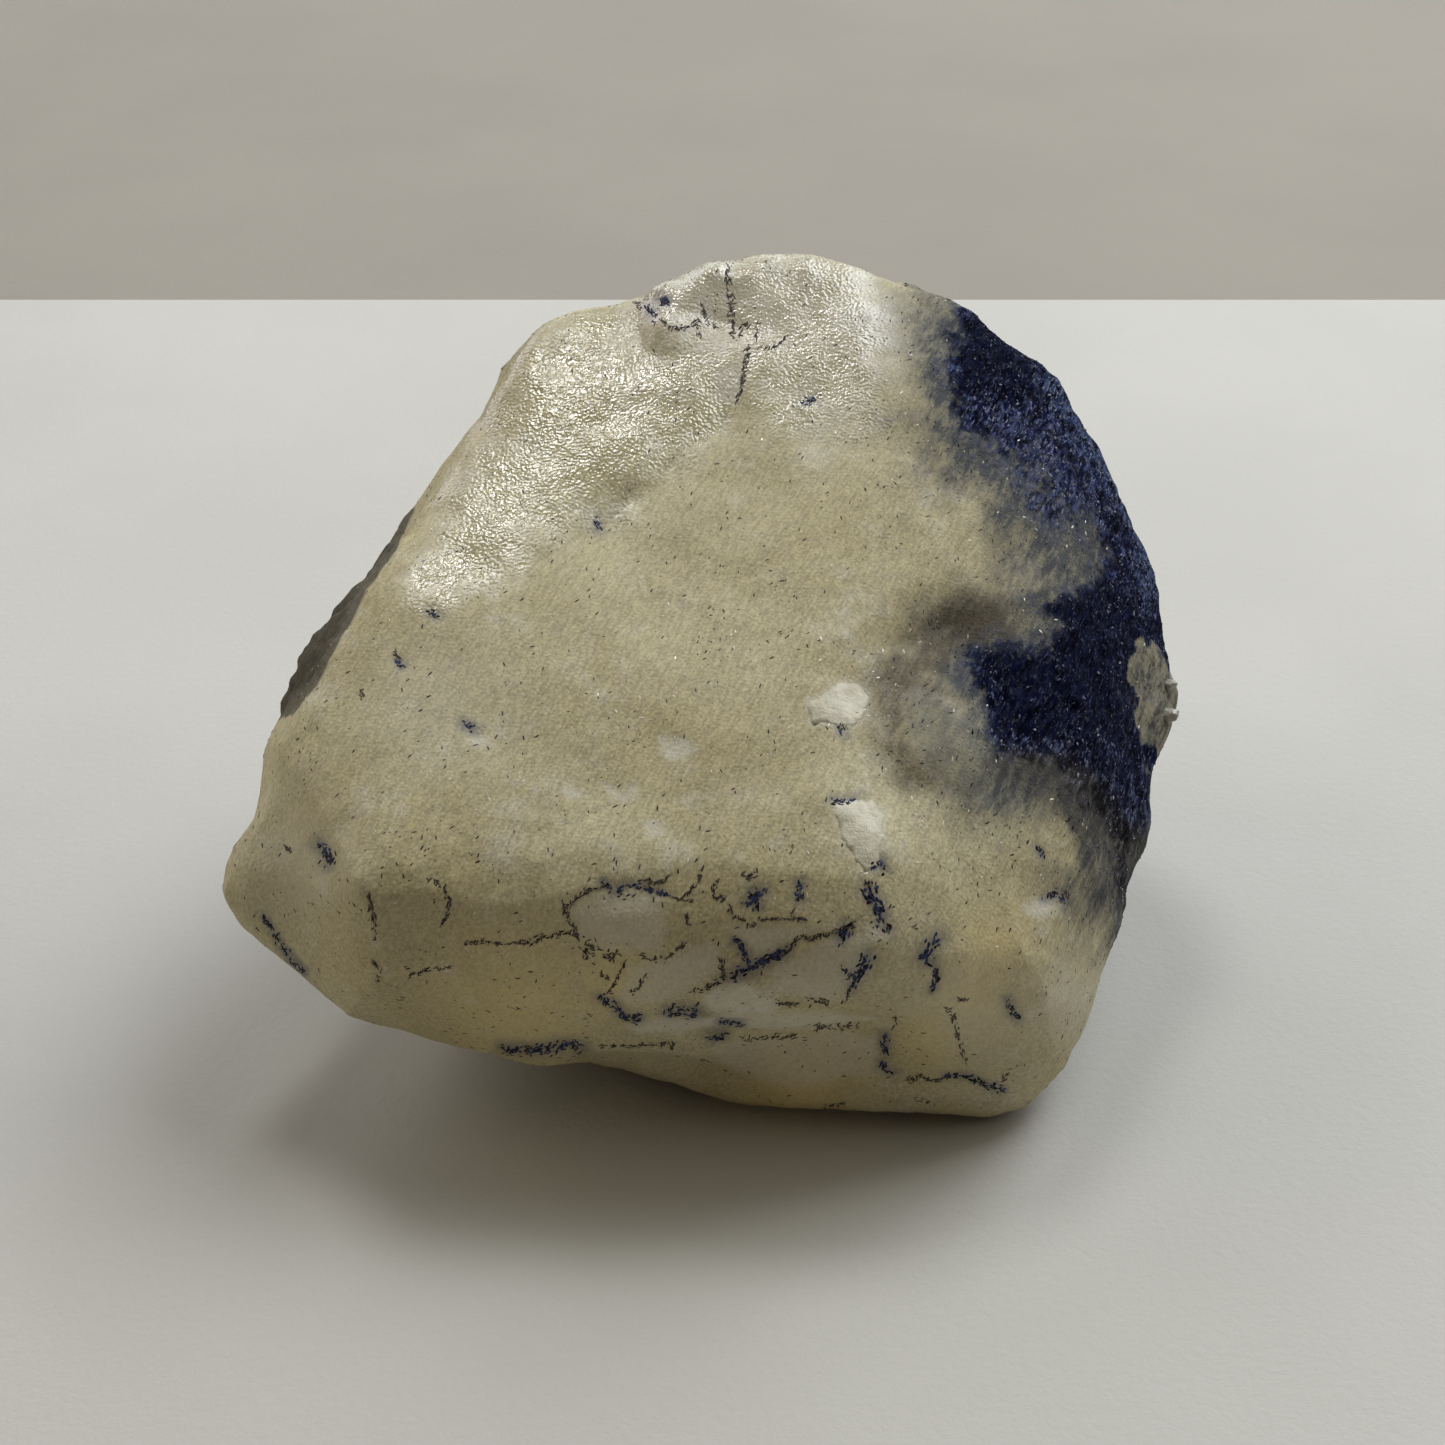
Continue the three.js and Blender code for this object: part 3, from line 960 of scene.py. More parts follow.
@dataclass(frozen=True)
class StoneFinish:
    """The stone's own surface: waxy pale quartzite that turns to dumortierite in the markings."""

    # colours of the pale rock
    cream: Colour = srgb(184, 176, 143)
    straw: Colour = srgb(174, 164, 128)
    milk: Colour = srgb(204, 201, 189)
    mauve: Colour = srgb(168, 152, 140)
    haze: Colour = srgb(68, 71, 74)
    growth: Colour = srgb(86, 86, 84)
    growth_dark: Colour = srgb(40, 42, 46)
    # colours of the dumortierite, of its painted rim highlight, of its ashen parts and of the rind
    black: Colour = srgb(2, 2, 13)
    navy: Colour = srgb(14, 23, 68)
    # painted highlight colour along the right rim of the blue
    rim_highlight_teal: Colour = srgb(48, 68, 98)
    steel: Colour = srgb(74, 84, 118)
    violet: Colour = srgb(146, 150, 172)
    ash: Colour = srgb(54, 51, 48)
    ash_light: Colour = srgb(96, 93, 88)
    rind: Colour = srgb(76, 74, 71)
    rind_dark: Colour = srgb(20, 24, 38)
    # stains of the pale rock, from the lowest to the topmost, and their largest shares; the honey one is
    # also a painted glow through thin parts, the panel one also painted light on the crest
    stains: tuple[tuple[Mark, Colour, float], ...] = (
        (Mark.HONEY_TINT_AND_GLOW, srgb(212, 194, 132), 0.5), (Mark.PANEL, milk, 0.64), (Mark.CHIP, milk, 0.7),
        (Mark.LENS, srgb(140, 137, 118), 0.85), (Mark.HAZE, haze, 1.0),
        (Mark.BROWN, srgb(84, 76, 58), 0.8), (Mark.VEIN, srgb(66, 73, 96), 0.54), (Mark.ASH, ash, 0.72),
    )
    growth_share: float = 0.85
    # direction of the grain, and how far it draws the patterns out
    lineation: Place = (0.0, math.radians(-20.7), math.radians(62.5))
    drawn_out: Place = (3.2, 1.0, 1.0)
    # patterns of the pale rock
    clouds: Speckle = Speckle(9 * MM, 4.0, cut=(0.35, 0.66))
    patches: Speckle = Speckle(2.6 * MM, 5.0, 0.65, (0.52, 0.72), (0.0, 0.4))
    blush: Speckle = Speckle(1.7 * MM, 4.0, 0.65, (0.60, 0.74), (0.0, 0.5))
    mottle: Speckle = Speckle(0.16 * MM, 2.0, 0.7, (0.30, 0.70), (0.78, 1.13), True)
    stain_wisps: Speckle = Speckle(0.45 * MM, 4.0, 0.78, (0.34, 0.66), (0.66, 1.20), True)
    growth_mottle: Speckle = Speckle(0.35 * MM, 3.0, 0.65, (0.38, 0.60))
    # where the dumortierite ends, and the noise that breaks up its edge
    blue_cut: Range = (0.15, 0.80)
    edge_wisps: Speckle = Speckle(0.40 * MM, 4.0, 0.65, streaked=True)
    edge_wisp_weight: float = 0.9
    edge_grains: Speckle = Speckle(0.6 * MM, 4.0, 0.65)
    edge_grain_weight: float = 1.3
    # light and dark in the dumortierite, with a painted highlight along its right rim
    broad: Speckle = Speckle(1.1 * MM, 5.0, 0.66)
    broad_cut: Range = (0.44, 0.62)
    broad_lifts: tuple[tuple[Mark, float], ...] = (
        (Mark.RIM_HIGHLIGHT, 0.16), (Mark.LIFT, 0.12), (Mark.DENSE, -0.26),
    )
    tint: Speckle = Speckle(0.30 * MM, 3.0, 0.7, (0.38, 0.64), streaked=True)
    tint_by_broad: Range = (0.3, 1.0)
    clusters: Speckle = Speckle(0.26 * MM, 3.0, 0.7, (0.45, 0.62), streaked=True)
    clusters_by_broad: Range = (0.10, 0.85)
    sparks: Speckle = Speckle(0.12 * MM, 2.0, 0.65, (0.57, 0.66), streaked=True)
    sparks_by_broad: Range = (0.12, 0.7)
    sparks_by_ash: Range = (1.0, 0.5)
    # where the dumortierite is thin, the haze shows through it
    thin_from: float = 0.95
    thin_to: float = 0.40
    thin_share: Range = (0.0, 0.75)
    thin_by_tint: Range = (0.5, 1.0)
    thin_haze: float = 0.5
    # the rind turns dark towards its outer side
    rind_cut: Range = (0.02, 0.16)
    rind_share: float = 0.9
    char: Speckle = Speckle(0.9 * MM, 4.0, 0.7)
    char_weight: float = 1.5
    char_cut: Range = (0.95, 1.55)
    char_clusters: float = 0.7
    # gloss of the quartz, and how much of it turns matte where it isn't polished
    uneven: Speckle = Speckle(0.9 * MM, cut=(0.3, 0.7), to=(0.42, 0.58))
    polish: float = 0.34
    haze_rough: float = 0.25
    ior: float = 1.54
    shine: float = 0.85
    scatter: float = 0.2
    scatter_reach: float = 0.6 * MM
    scatter_by_colour: Colour = (1.0, 0.8, 0.45)
    polished_from: float = 0.8
    dull_share: float = 0.72
    matte_rough: float = 0.85
    matte_shine: float = 0.03
    # heights
    ripple: Speckle = Speckle(1.6 * MM, streaked=True)
    ripple_height: float = 0.07 * MM
    grit: Speckle = Speckle(0.15 * MM, 0.0)
    grit_height: Range = (0.024 * MM, 0.038 * MM)
    felt: Speckle = Speckle(0.3 * MM, 3.0, 0.7, streaked=True)
    felt_height: float = 0.10 * MM
    lumps: Speckle = Speckle(0.7 * MM)
    lumps_height: float = 0.18 * MM

    def material(self) -> bpy.types.Material:
        """Builds the material: glassy quartz, mixed with a matte rock of its own colours.

        Returns:
            The material.
        """
        graph = FinishGraph("stone_surface")
        graph.stretch(self.lineation, self.drawn_out)
        rind = graph.span(graph.mark(Mark.RIND), *self.rind_cut, (0.0, self.rind_share))
        crusted = graph.math("MAXIMUM", self.blue_share(graph), rind)
        pale = self.quartz_colour(graph)
        sugary = self.quartz_height(graph)
        matte = graph.add("ShaderNodeBsdfPrincipled", {
            "Base Color": graph.blend(crusted, pale, self.blue_colour(graph)),
            "Roughness": self.matte_rough,
            "Specular IOR Level": self.matte_shine,
            "Normal": graph.relief(graph.mix(crusted, sugary, self.blue_height(graph))),
        })
        dull = graph.span(graph.mark(Mark.GLOSS), 0.0, self.polished_from, (self.dull_share, 0.0))
        dull = graph.math("MAXIMUM", crusted, dull)
        inputs = {0: dull, 1: graph.shader.outputs[0], 2: matte.outputs[0]}
        surface = graph.add("ShaderNodeMixShader", inputs).outputs[0]
        graph.put(graph.tree.nodes["Material Output"].inputs["Surface"], surface)
        return graph.done({
            "Base Color": pale,
            "Roughness": self.roughness(graph),
            "Normal": graph.relief(sugary),
            "IOR": self.ior,
            "Specular IOR Level": self.shine,
            "Subsurface Weight": self.scatter,
            "Subsurface Radius": self.scatter_by_colour,
            "Subsurface Scale": self.scatter_reach,
        })

    def blue_share(self, graph: FinishGraph) -> Socket:
        """Share of dumortierite, whose edge breaks up into wisps and grains.

        Args:
            graph: The material's graph.

        Returns:
            The share, from 0 to 1.
        """
        share = graph.mark(Mark.BLUE)
        weighted = ((self.edge_wisps, self.edge_wisp_weight), (self.edge_grains, self.edge_grain_weight))
        for pattern, weight in weighted:
            waver = graph.math("SUBTRACT", graph.speckle(pattern), 0.5)
            share = graph.math("MULTIPLY_ADD", waver, weight, share)
        return graph.span(share, *self.blue_cut)

    def quartz_colour(self, graph: FinishGraph) -> Socket:
        """Colour of the pale rock with its stains and its growth, with a painted glow in thin parts and
        painted light on the crest.

        Args:
            graph: The material's graph.

        Returns:
            The colour.
        """
        pale = graph.blend(graph.speckle(self.clouds), self.cream, self.straw)
        pale = graph.blend(graph.speckle(self.patches), pale, self.milk)
        pale = graph.blend(graph.speckle(self.blush), pale, self.mauve)
        pale = graph.shade(pale, graph.speckle(self.mottle))
        growth = graph.blend(graph.speckle(self.growth_mottle), self.growth_dark, self.growth)
        wisps = graph.speckle(self.stain_wisps)
        for mark, colour, share in (*self.stains, (Mark.PALE, growth, self.growth_share)):
            amount = graph.math("MULTIPLY", graph.mark(mark), share)
            amount = graph.math("MINIMUM", graph.math("MULTIPLY", amount, wisps), 1.0)
            pale = graph.blend(amount, pale, colour)
        return pale

    def blue_colour(self, graph: FinishGraph) -> Socket:
        """Colour of the dumortierite with its painted rim highlight, of its ashen and thin parts and of
        the rind.

        Args:
            graph: The material's graph.

        Returns:
            The colour.
        """
        ash = graph.mark(Mark.ASH)
        broad = graph.speckle(self.broad)
        for mark, lift in self.broad_lifts:
            broad = graph.math("MULTIPLY_ADD", graph.mark(mark), lift, broad)
        broad = graph.span(broad, *self.broad_cut)
        tint = graph.speckle(self.tint)
        clusters = graph.fade(graph.speckle(self.clusters), broad, self.clusters_by_broad)
        sparks = graph.fade(graph.speckle(self.sparks), broad, self.sparks_by_broad)
        sparks = graph.fade(sparks, ash, self.sparks_by_ash)
        # painted highlight: the blue turns teal along its right rim
        hue = graph.blend(ash, graph.blend(graph.mark(Mark.RIM_HIGHLIGHT), self.navy, self.rim_highlight_teal), self.ash)
        light = graph.blend(ash, self.steel, self.ash_light)
        colour = graph.blend(graph.fade(tint, broad, self.tint_by_broad), self.black, hue)
        colour = graph.blend(clusters, colour, light)
        colour = graph.blend(sparks, colour, self.violet)
        thin = graph.span(graph.mark(Mark.BLUE), self.thin_from, self.thin_to, self.thin_share)
        thin = graph.fade(thin, tint, self.thin_by_tint)
        colour = graph.blend(thin, colour, graph.blend(self.thin_haze, light, self.haze))
        rind = graph.mark(Mark.RIND)
        outer = graph.math("MULTIPLY_ADD", graph.speckle(self.char), self.char_weight, rind)
        charred = graph.blend(graph.span(outer, *self.char_cut), self.rind, self.rind_dark)
        charred = graph.blend(graph.math("MULTIPLY", clusters, self.char_clusters), charred, self.rind)
        return graph.blend(graph.span(rind, *self.rind_cut), colour, charred)

    def roughness(self, graph: FinishGraph) -> Socket:
        """Gloss of the quartzite, highest where it broke cleanly.

        Args:
            graph: The material's graph.

        Returns:
            Its roughness, from 0 to 1.
        """
        polish = graph.math("MULTIPLY", graph.mark(Mark.GLOSS), self.polish)
        dulled = graph.math("MULTIPLY", graph.mark(Mark.HAZE), self.haze_rough)
        return graph.math("ADD", graph.math("SUBTRACT", graph.speckle(self.uneven), polish), dulled)

    def quartz_height(self, graph: FinishGraph) -> Socket:
        """Height of the sugary break of the quartzite.

        Args:
            graph: The material's graph.

        Returns:
            The height, in metres.
        """
        ripple = graph.math("MULTIPLY", graph.speckle(self.ripple), self.ripple_height)
        depth = graph.span(graph.mark(Mark.GLOSS), 0.0, 1.0, self.grit_height)
        return graph.math("ADD", ripple, graph.math("MULTIPLY", graph.speckle(self.grit), depth))

    def blue_height(self, graph: FinishGraph) -> Socket:
        """Height of the rough, felted dumortierite.

        Args:
            graph: The material's graph.

        Returns:
            The height, in metres.
        """
        felt = graph.math("MULTIPLY", graph.speckle(self.felt), self.felt_height)
        lumps = graph.math("MULTIPLY", graph.speckle(self.lumps), self.lumps_height)
        return graph.math("ADD", felt, lumps)


@dataclass(frozen=True)
class CrystalFinish:
    """A finish for small crystals, whose tone varies from one crystal to the next."""

    name: str
    dark: Colour
    light: Colour
    rough: float = 0.3
    shine: float = 0.5
    ior: float = 1.55
    rough_by_tone: Range = (0.7, 1.4)
    flecks: Speckle = Speckle(0.2 * MM, 2.0, cut=(0.35, 0.65), to=(-0.2, 0.2))

    def material(self) -> bpy.types.Material:
        """Builds the material.

        Returns:
            The material.
        """
        graph = FinishGraph(self.name)
        tone = graph.math("ADD", graph.mark("tone"), graph.speckle(self.flecks))
        low, high = self.rough_by_tone
        return graph.done({
            "Base Color": graph.blend(graph.span(tone, 0.0, 1.0), self.dark, self.light),
            "Roughness": graph.span(tone, 0.0, 1.0, (self.rough * low, self.rough * high)),
            "IOR": self.ior,
            "Specular IOR Level": self.shine,
        })


@dataclass(frozen=True)
class FlakeFinish:
    """Milky, finely splintered quartzite."""

    milk: Colour = srgb(198, 193, 174)
    shade: Colour = srgb(176, 170, 146)
    rough: float = 0.38
    ior: float = 1.54
    clouds: Speckle = Speckle(0.8 * MM, 4.0, 0.65, (0.35, 0.65))
    splinters: Speckle = Speckle(0.4 * MM, 4.0, 0.75)
    splinter_height: float = 0.07 * MM

    def material(self) -> bpy.types.Material:
        """Builds the material.

        Returns:
            The material.
        """
        graph = FinishGraph("flake_surface")
        splinters = graph.math("MULTIPLY", graph.speckle(self.splinters), self.splinter_height)
        return graph.done({
            "Base Color": graph.blend(graph.speckle(self.clouds), self.milk, self.shade),
            "Roughness": self.rough,
            "IOR": self.ior,
            "Normal": graph.relief(splinters),
        })


@dataclass(frozen=True)
class GroundFinish:
    """A plain matte ground with a faint tooth."""

    name: str
    colour: Colour
    rough: float = 0.85
    tones: Speckle = Speckle(30 * MM, cut=(0.3, 0.7), to=(0.97, 1.03))
    tooth: Speckle = Speckle(0.5 * MM, 4.0, 0.7)
    tooth_height: float = 0.05 * MM

    def material(self) -> bpy.types.Material:
        """Builds the material.

        Returns:
            The material.
        """
        graph = FinishGraph(self.name)
        tooth = graph.math("MULTIPLY", graph.speckle(self.tooth), self.tooth_height)
        return graph.done({
            "Base Color": graph.shade(self.colour, graph.speckle(self.tones)),
            "Roughness": self.rough,
            "Normal": graph.relief(tooth),
        })


# ------------------------------------------------------------------------------ the stone


@dataclass
class Stone:
    """The lump itself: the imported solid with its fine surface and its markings."""

    node: str = "dumortierite_stone"
    # edges of the solid stay sharp where its faces meet at more than a few degrees
    levels: int = 2
    crease_from: float = math.radians(13)
    crease_full: float = math.radians(42)
    crease: float = 0.75
    weld: float = 0.001 * MM
    rest_clearance: float = 1.2 * MM
    # relief of the whole stone, of its crusts and of its polished faces
    swell: Waves = Waves(2.8 * MM, height=0.06 * MM)
    ripple: Waves = Waves(0.9 * MM, 2, 5.0, 0.012 * MM)
    crust: Waves = Waves(1.5 * MM, 3, 9.0, 0.16 * MM)
    crust_grit: Waves = Waves(0.7 * MM, 1, height=0.08 * MM)
    rind_roughness: float = 1.9
    polish: Waves = Waves(3.4 * MM, 2, 13.0, 0.09 * MM)
    chip_depth: float = 0.03 * MM
    vein_depth: float = 0.05 * MM
    # in the front view: the pit in the blue and the raised lens
    pit_centre: Pixel = (1077, 707)
    pit_radius: float = 9.0
    pit_depth: float = 0.5 * MM
    lens_rise: float = 0.05 * MM
    lens_edge: Range = (-3, 9)
    markings: Markings = field(default_factory=Markings)

    def smooth_copy(self) -> bpy.types.Object:
        """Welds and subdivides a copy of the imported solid.

        Returns:
            The copy, without markings or relief.
        """
        work = bmesh.new()
        work.from_mesh(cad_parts[self.node].data)
        bmesh.ops.remove_doubles(work, verts=work.verts, dist=self.weld)
        creases = work.edges.layers.float.new("crease_edge")
        for edge in work.edges:
            share = (edge.calc_face_angle(0.0) - self.crease_from) / (self.crease_full - self.crease_from)
            edge[creases] = self.crease * min(max(share, 0.0), 1.0)
        mesh = bpy.data.meshes.new("stone_coarse")
        work.to_mesh(mesh)
        work.free()
        coarse = link("stone_coarse", mesh)
        rounding = coarse.modifiers.new("rounding", "SUBSURF")
        rounding.levels = rounding.render_levels = self.levels
        return baked(coarse, "stone_surface")

    def front_relief(self, pixels: np.ndarray) -> np.ndarray:
        """Height of the edges, folds and hollows that the front view shows.

        Args:
            pixels: N by 2 places in the front view.

        Returns:
            N heights, in metres.
        """
        height = np.zeros(len(pixels))
        for top, reach, route in RIDGES:
            height += top * MM * np.exp(-line_distance(pixels, route) / reach)
        for centre, radius, top in SWELLS:
            height += top * MM * spot(pixels, centre, radius)
        height += self.lens_rise * soft_step(depth_inside(pixels, LENS), *self.lens_edge)
        away = np.linalg.norm(pixels - self.pit_centre, axis=1)
        return height - self.pit_depth * (1 - soft_step(away, 0, self.pit_radius))

    def rise(self, points: np.ndarray, seen: np.ndarray, marks: dict[Mark, np.ndarray]) -> np.ndarray:
        """Height of the fine relief.

        Args:
            points: N by 3 places on the stone, in metres.
            seen: How far each place faces the front view.
            marks: The markings there.

        Returns:
            N heights, in metres.
        """
        rough = np.maximum(marks[Mark.BLUE], self.rind_roughness * marks[Mark.RIND])
        rise = self.swell.at(points) + self.ripple.at(points)
        rise += rough * (self.crust.at(points) + self.crust_grit.at(points))
        rise += marks[Mark.GLOSS] * self.polish.at(points)
        rise -= self.chip_depth * marks[Mark.CHIP] + self.vein_depth * marks[Mark.VEIN]
        rise += seen * self.front_relief(VIEW.project(points))
        return rise * soft_step(points[:, 2], 0, self.rest_clearance)

    def build(self) -> FineSurface:
        """Makes the stone and paints its markings.

        Returns:
            The finished surface.
        """
        stone = self.smooth_copy()
        mesh = stone.data
        points, normals = np.empty((2, len(mesh.vertices), 3))
        mesh.vertices.foreach_get("co", points.ravel())
        mesh.vertices.foreach_get("normal", normals.ravel())
        marks = self.markings.paint(points, normals)
        for mark, values in marks.items():
            store(mesh, mark.value, values)
        seen = self.markings.seen(points, normals)
        points = points + normals * self.rise(points, seen, marks)[:, None]
        points[:, 2] = np.maximum(points[:, 2], 0.0)
        mesh.vertices.foreach_set("co", points.ravel())
        mesh.polygons.foreach_set("use_smooth", [True] * len(mesh.polygons))
        mesh.update()
        mesh.materials.clear()
        mesh.materials.append(StoneFinish().material())
        return FineSurface(stone, points, marks)


# ------------------------------------------------------------------------------ crystals


class CrystalNodes:
    """A node group that sets small crystals on a host and makes them real."""

    def __init__(self, name: str, wanted: dict[str, str]) -> None:
        """Starts the group.

        Args:
            name: Name of the group.
            wanted: Kind of every named input, such as "Float".
        """
        self.group = bpy.data.node_groups.new(name, "GeometryNodeTree")
        face = self.group.interface
        face.new_socket("Geometry", in_out="INPUT", socket_type="NodeSocketGeometry")
        face.new_socket("Geometry", in_out="OUTPUT", socket_type="NodeSocketGeometry")
        self.named = {
            label: face.new_socket(label, in_out="INPUT", socket_type="NodeSocket" + kind).identifier
            for label, kind in wanted.items()
        }
        self.graph = Graph(self.group)
        self.given = self.graph.add("NodeGroupInput").outputs

    def attribute(self, name: str, kind: str) -> Socket:
        """Reads a named attribute of the host."""
        node = self.graph.add("GeometryNodeInputNamedAttribute", {"Name": name}, data_type=kind)
        return node.outputs["Attribute"]

    def chance(self, low: float, high: float, shift: int) -> Socket:
        """A random number for every crystal, which the shift sets apart from its others."""
        inputs = {2: low, 3: high, 8: self.graph.math("ADD", self.given["Seed"], shift)}
        return self.graph.add("FunctionNodeRandomValue", inputs, data_type="FLOAT").outputs[1]

    def turned(self, rotation: Socket, axis: Place, reach: Socket, shift: int) -> Socket:
        """Turns a rotation about one of its own axes, by chance.

        Args:
            rotation: The rotation.
            axis: The axis.
            reach: Largest angle, either way.
            shift: Sets the chance apart from the others drawn with the same seed.

        Returns:
            The new rotation.
        """
        angle = self.graph.math("MULTIPLY", self.chance(-1, 1, shift), reach)
        turn = self.graph.add("FunctionNodeAxisAngleToRotation", {"Axis": axis, "Angle": angle})
        inputs = {"Rotation": rotation, "Rotate By": turn.outputs[0]}
        return self.graph.add("FunctionNodeRotateRotation", inputs, rotation_space="LOCAL").outputs[0]

    def finish(self, points: Socket, rotation: Socket, scale: Socket, tone: Socket) -> "CrystalNodes":
        """Sets a crystal on every point, makes the crystals real and gives them their material.

        Args:
            points: The points.
            rotation: Rotation of each crystal.
            scale: Half of its three sides.
            tone: Its tone, from 0 to 1.

        Returns:
            The finished node group.
        """
        add = self.graph.add
        crystal = add("GeometryNodeMeshIcoSphere", {"Radius": 1.0, "Subdivisions": 1}).outputs["Mesh"]
        inputs = {"Points": points, "Instance": crystal, "Rotation": rotation, "Scale": scale}
        crystals = add("GeometryNodeInstanceOnPoints", inputs).outputs[0]
        inputs = {"Geometry": crystals, "Name": "tone", "Value": tone}
        toned = add("GeometryNodeStoreNamedAttribute", inputs, data_type="FLOAT", domain="INSTANCE")
        real = add("GeometryNodeRealizeInstances", {"Geometry": toned.outputs[0]}).outputs[0]
        inputs = {"Geometry": real, "Material": self.given["Material"]}
        add("NodeGroupOutput", {"Geometry": add("GeometryNodeSetMaterial", inputs).outputs[0]})
        return self

    def apply(self, host: bpy.types.Object, name: str, values: dict[str, object]) -> bpy.types.Object:
        """Runs the group on a host and returns the crystals.

        Args:
            host: Object with the points or the surface, which is removed.
            name: Name of the new piece.
            values: Value of every named input.

        Returns:
            The piece.
        """
        modifier = host.modifiers.new(name, "NODES")
        modifier.node_group = self.group
        for label, value in values.items():
            modifier[self.named[label]] = value
        return baked(host, name)


def strewing_nodes(small_ones: float = 2.0) -> CrystalNodes:
    """Node group that strews crystals over a surface, as thickly as its "strewn" attribute says.

    Args:
        small_ones: How far the small crystals outnumber the large ones, as a power.

    Returns:
        The node group.
    """
    nodes = CrystalNodes("strewn_crystals", {
        "Density": "Float", "Smallest": "Vector", "Largest": "Vector", "Spin": "Float",
        "Tilt": "Float", "Grain": "Vector", "Seed": "Int", "Material": "Material",
    })
    graph, given = nodes.graph, nodes.given
    thickness = graph.math("MULTIPLY", nodes.attribute("strewn", "FLOAT"), given["Density"])
    inputs = {"Mesh": given["Geometry"], "Density": thickness, "Seed": given["Seed"]}
    points = graph.add("GeometryNodeDistributePointsOnFaces", inputs)
    inputs = {"Vector": points.outputs["Normal"]}
    upright = graph.add("FunctionNodeAlignRotationToVector", inputs, axis="Z").outputs[0]
    inputs = {"Rotation": upright, "Vector": given["Grain"]}
    along = graph.add("FunctionNodeAlignRotationToVector", inputs, axis="X", pivot_axis="Z").outputs[0]
    turned = nodes.turned(along, (0, 0, 1), given["Spin"], 1)
    turned = nodes.turned(turned, (1, 0, 0), given["Tilt"], 2)
    turned = nodes.turned(turned, (0, 1, 0), given["Tilt"], 3)
    growth = graph.math("POWER", nodes.chance(0, 1, 4), small_ones)
    inputs = {"Factor": growth, 4: given["Smallest"], 5: given["Largest"]}
    size = graph.add("ShaderNodeMix", inputs, data_type="VECTOR").outputs[1]
    return nodes.finish(points.outputs["Points"], turned, size, nodes.chance(0, 1, 5))


def laying_nodes(sizes: Range = (0.85, 1.15), tones: Range = (-0.2, 0.2)) -> CrystalNodes:
    """Node group that lays one crystal on every point of its host, as the point's attributes say.

    Args:
        sizes: Smallest and largest factor by which chance changes a crystal's size.
        tones: Lowest and highest number that chance adds to its tone.

    Returns:
        The node group.
    """
    nodes = CrystalNodes("laid_crystals", {"Seed": "Int", "Material": "Material"})
    graph = nodes.graph
    aim = graph.add("FunctionNodeEulerToRotation", {0: nodes.attribute("aim", "FLOAT_VECTOR")}).outputs[0]
    inputs = {0: nodes.attribute("size", "FLOAT_VECTOR"), "Scale": nodes.chance(*sizes, 1)}
    size = graph.add("ShaderNodeVectorMath", inputs, operation="SCALE").outputs[0]
    tone = graph.math("ADD", nodes.attribute("tone", "FLOAT"), nodes.chance(*tones, 2))
    return nodes.finish(nodes.given["Geometry"], aim, size, tone)


@dataclass(frozen=True)
class Strewn:
    """Small crystals strewn over the whole stone, thick where one of its markings is strong."""

    name: str
    finish: CrystalFinish
    material_slot: str
    per_square_mm: float
    # half of the sides of the smallest and of the largest crystals, in millimetres
    smallest: Place
    largest: Place
    marking: Mark = Mark.BLUE
    marked: float = 1.0
    unmarked: float = 0.0
    # shares by which the crystals gather in clumps and keep off the dark cores and the crusts
    clumps: float = 0.0
    sparse_in_cores: float = 0.0
    off_crusts: float = 0.0
    # largest angles away from the grain of the rock and out of its surface
    spin: float = math.pi
    tilt: float = 0.5
    seed: int = 1
    grain: Place = (0.43, 0.83, 0.35)
    clump_spacing: float = 2.5 * MM
    clump_shift: float = 60.0
    clump_cut: Range = (-0.1, 0.45)
    off_ground: Range = (0.3 * MM, 1.0 * MM)

    def density(self, surface: FineSurface) -> np.ndarray:
        """Share of the full density at every vertex of the stone.

        Args:
            surface: The stone.

        Returns:
            N shares, from 0 to 1.
        """
        marks = surface.marks
        waves = Waves(self.clump_spacing, 2, self.clump_shift + self.seed)
        clumps = soft_step(waves.at(surface.points), *self.clump_cut)
        share = self.unmarked + (self.marked - self.unmarked) * marks[self.marking]
        share *= 1 - self.sparse_in_cores * marks[Mark.DENSE]
        share *= 1 - self.off_crusts * np.maximum(marks[Mark.RIND], marks[Mark.BLUE])
        share *= 1 - self.clumps + self.clumps * clumps
        return share * soft_step(surface.points[:, 2], *self.off_ground)

    def build(self, surface: FineSurface, nodes: CrystalNodes) -> bpy.types.Object:
        """Makes the crystals.

        Args:
            surface: The stone.
            nodes: Node group that strews them.

        Returns:
            The piece.
        """
        mesh = surface.stone.data.copy()
        store(mesh, "strewn", self.density(surface))
        return nodes.apply(link(self.name + "_host", mesh), self.name, {
            "Density": self.per_square_mm / MM**2,
            "Smallest": [side * MM for side in self.smallest],
            "Largest": [side * MM for side in self.largest],
            "Spin": self.spin,
            "Tilt": self.tilt,
            "Grain": self.grain,
            "Seed": self.seed,
            "Material": self.finish.material(),
        })


@dataclass(frozen=True)
class Dash:
    """A needle in the front view: its two ends, its width in pixels and its tone."""

    start: Pixel
    end: Pixel
    width: float
    tone: float


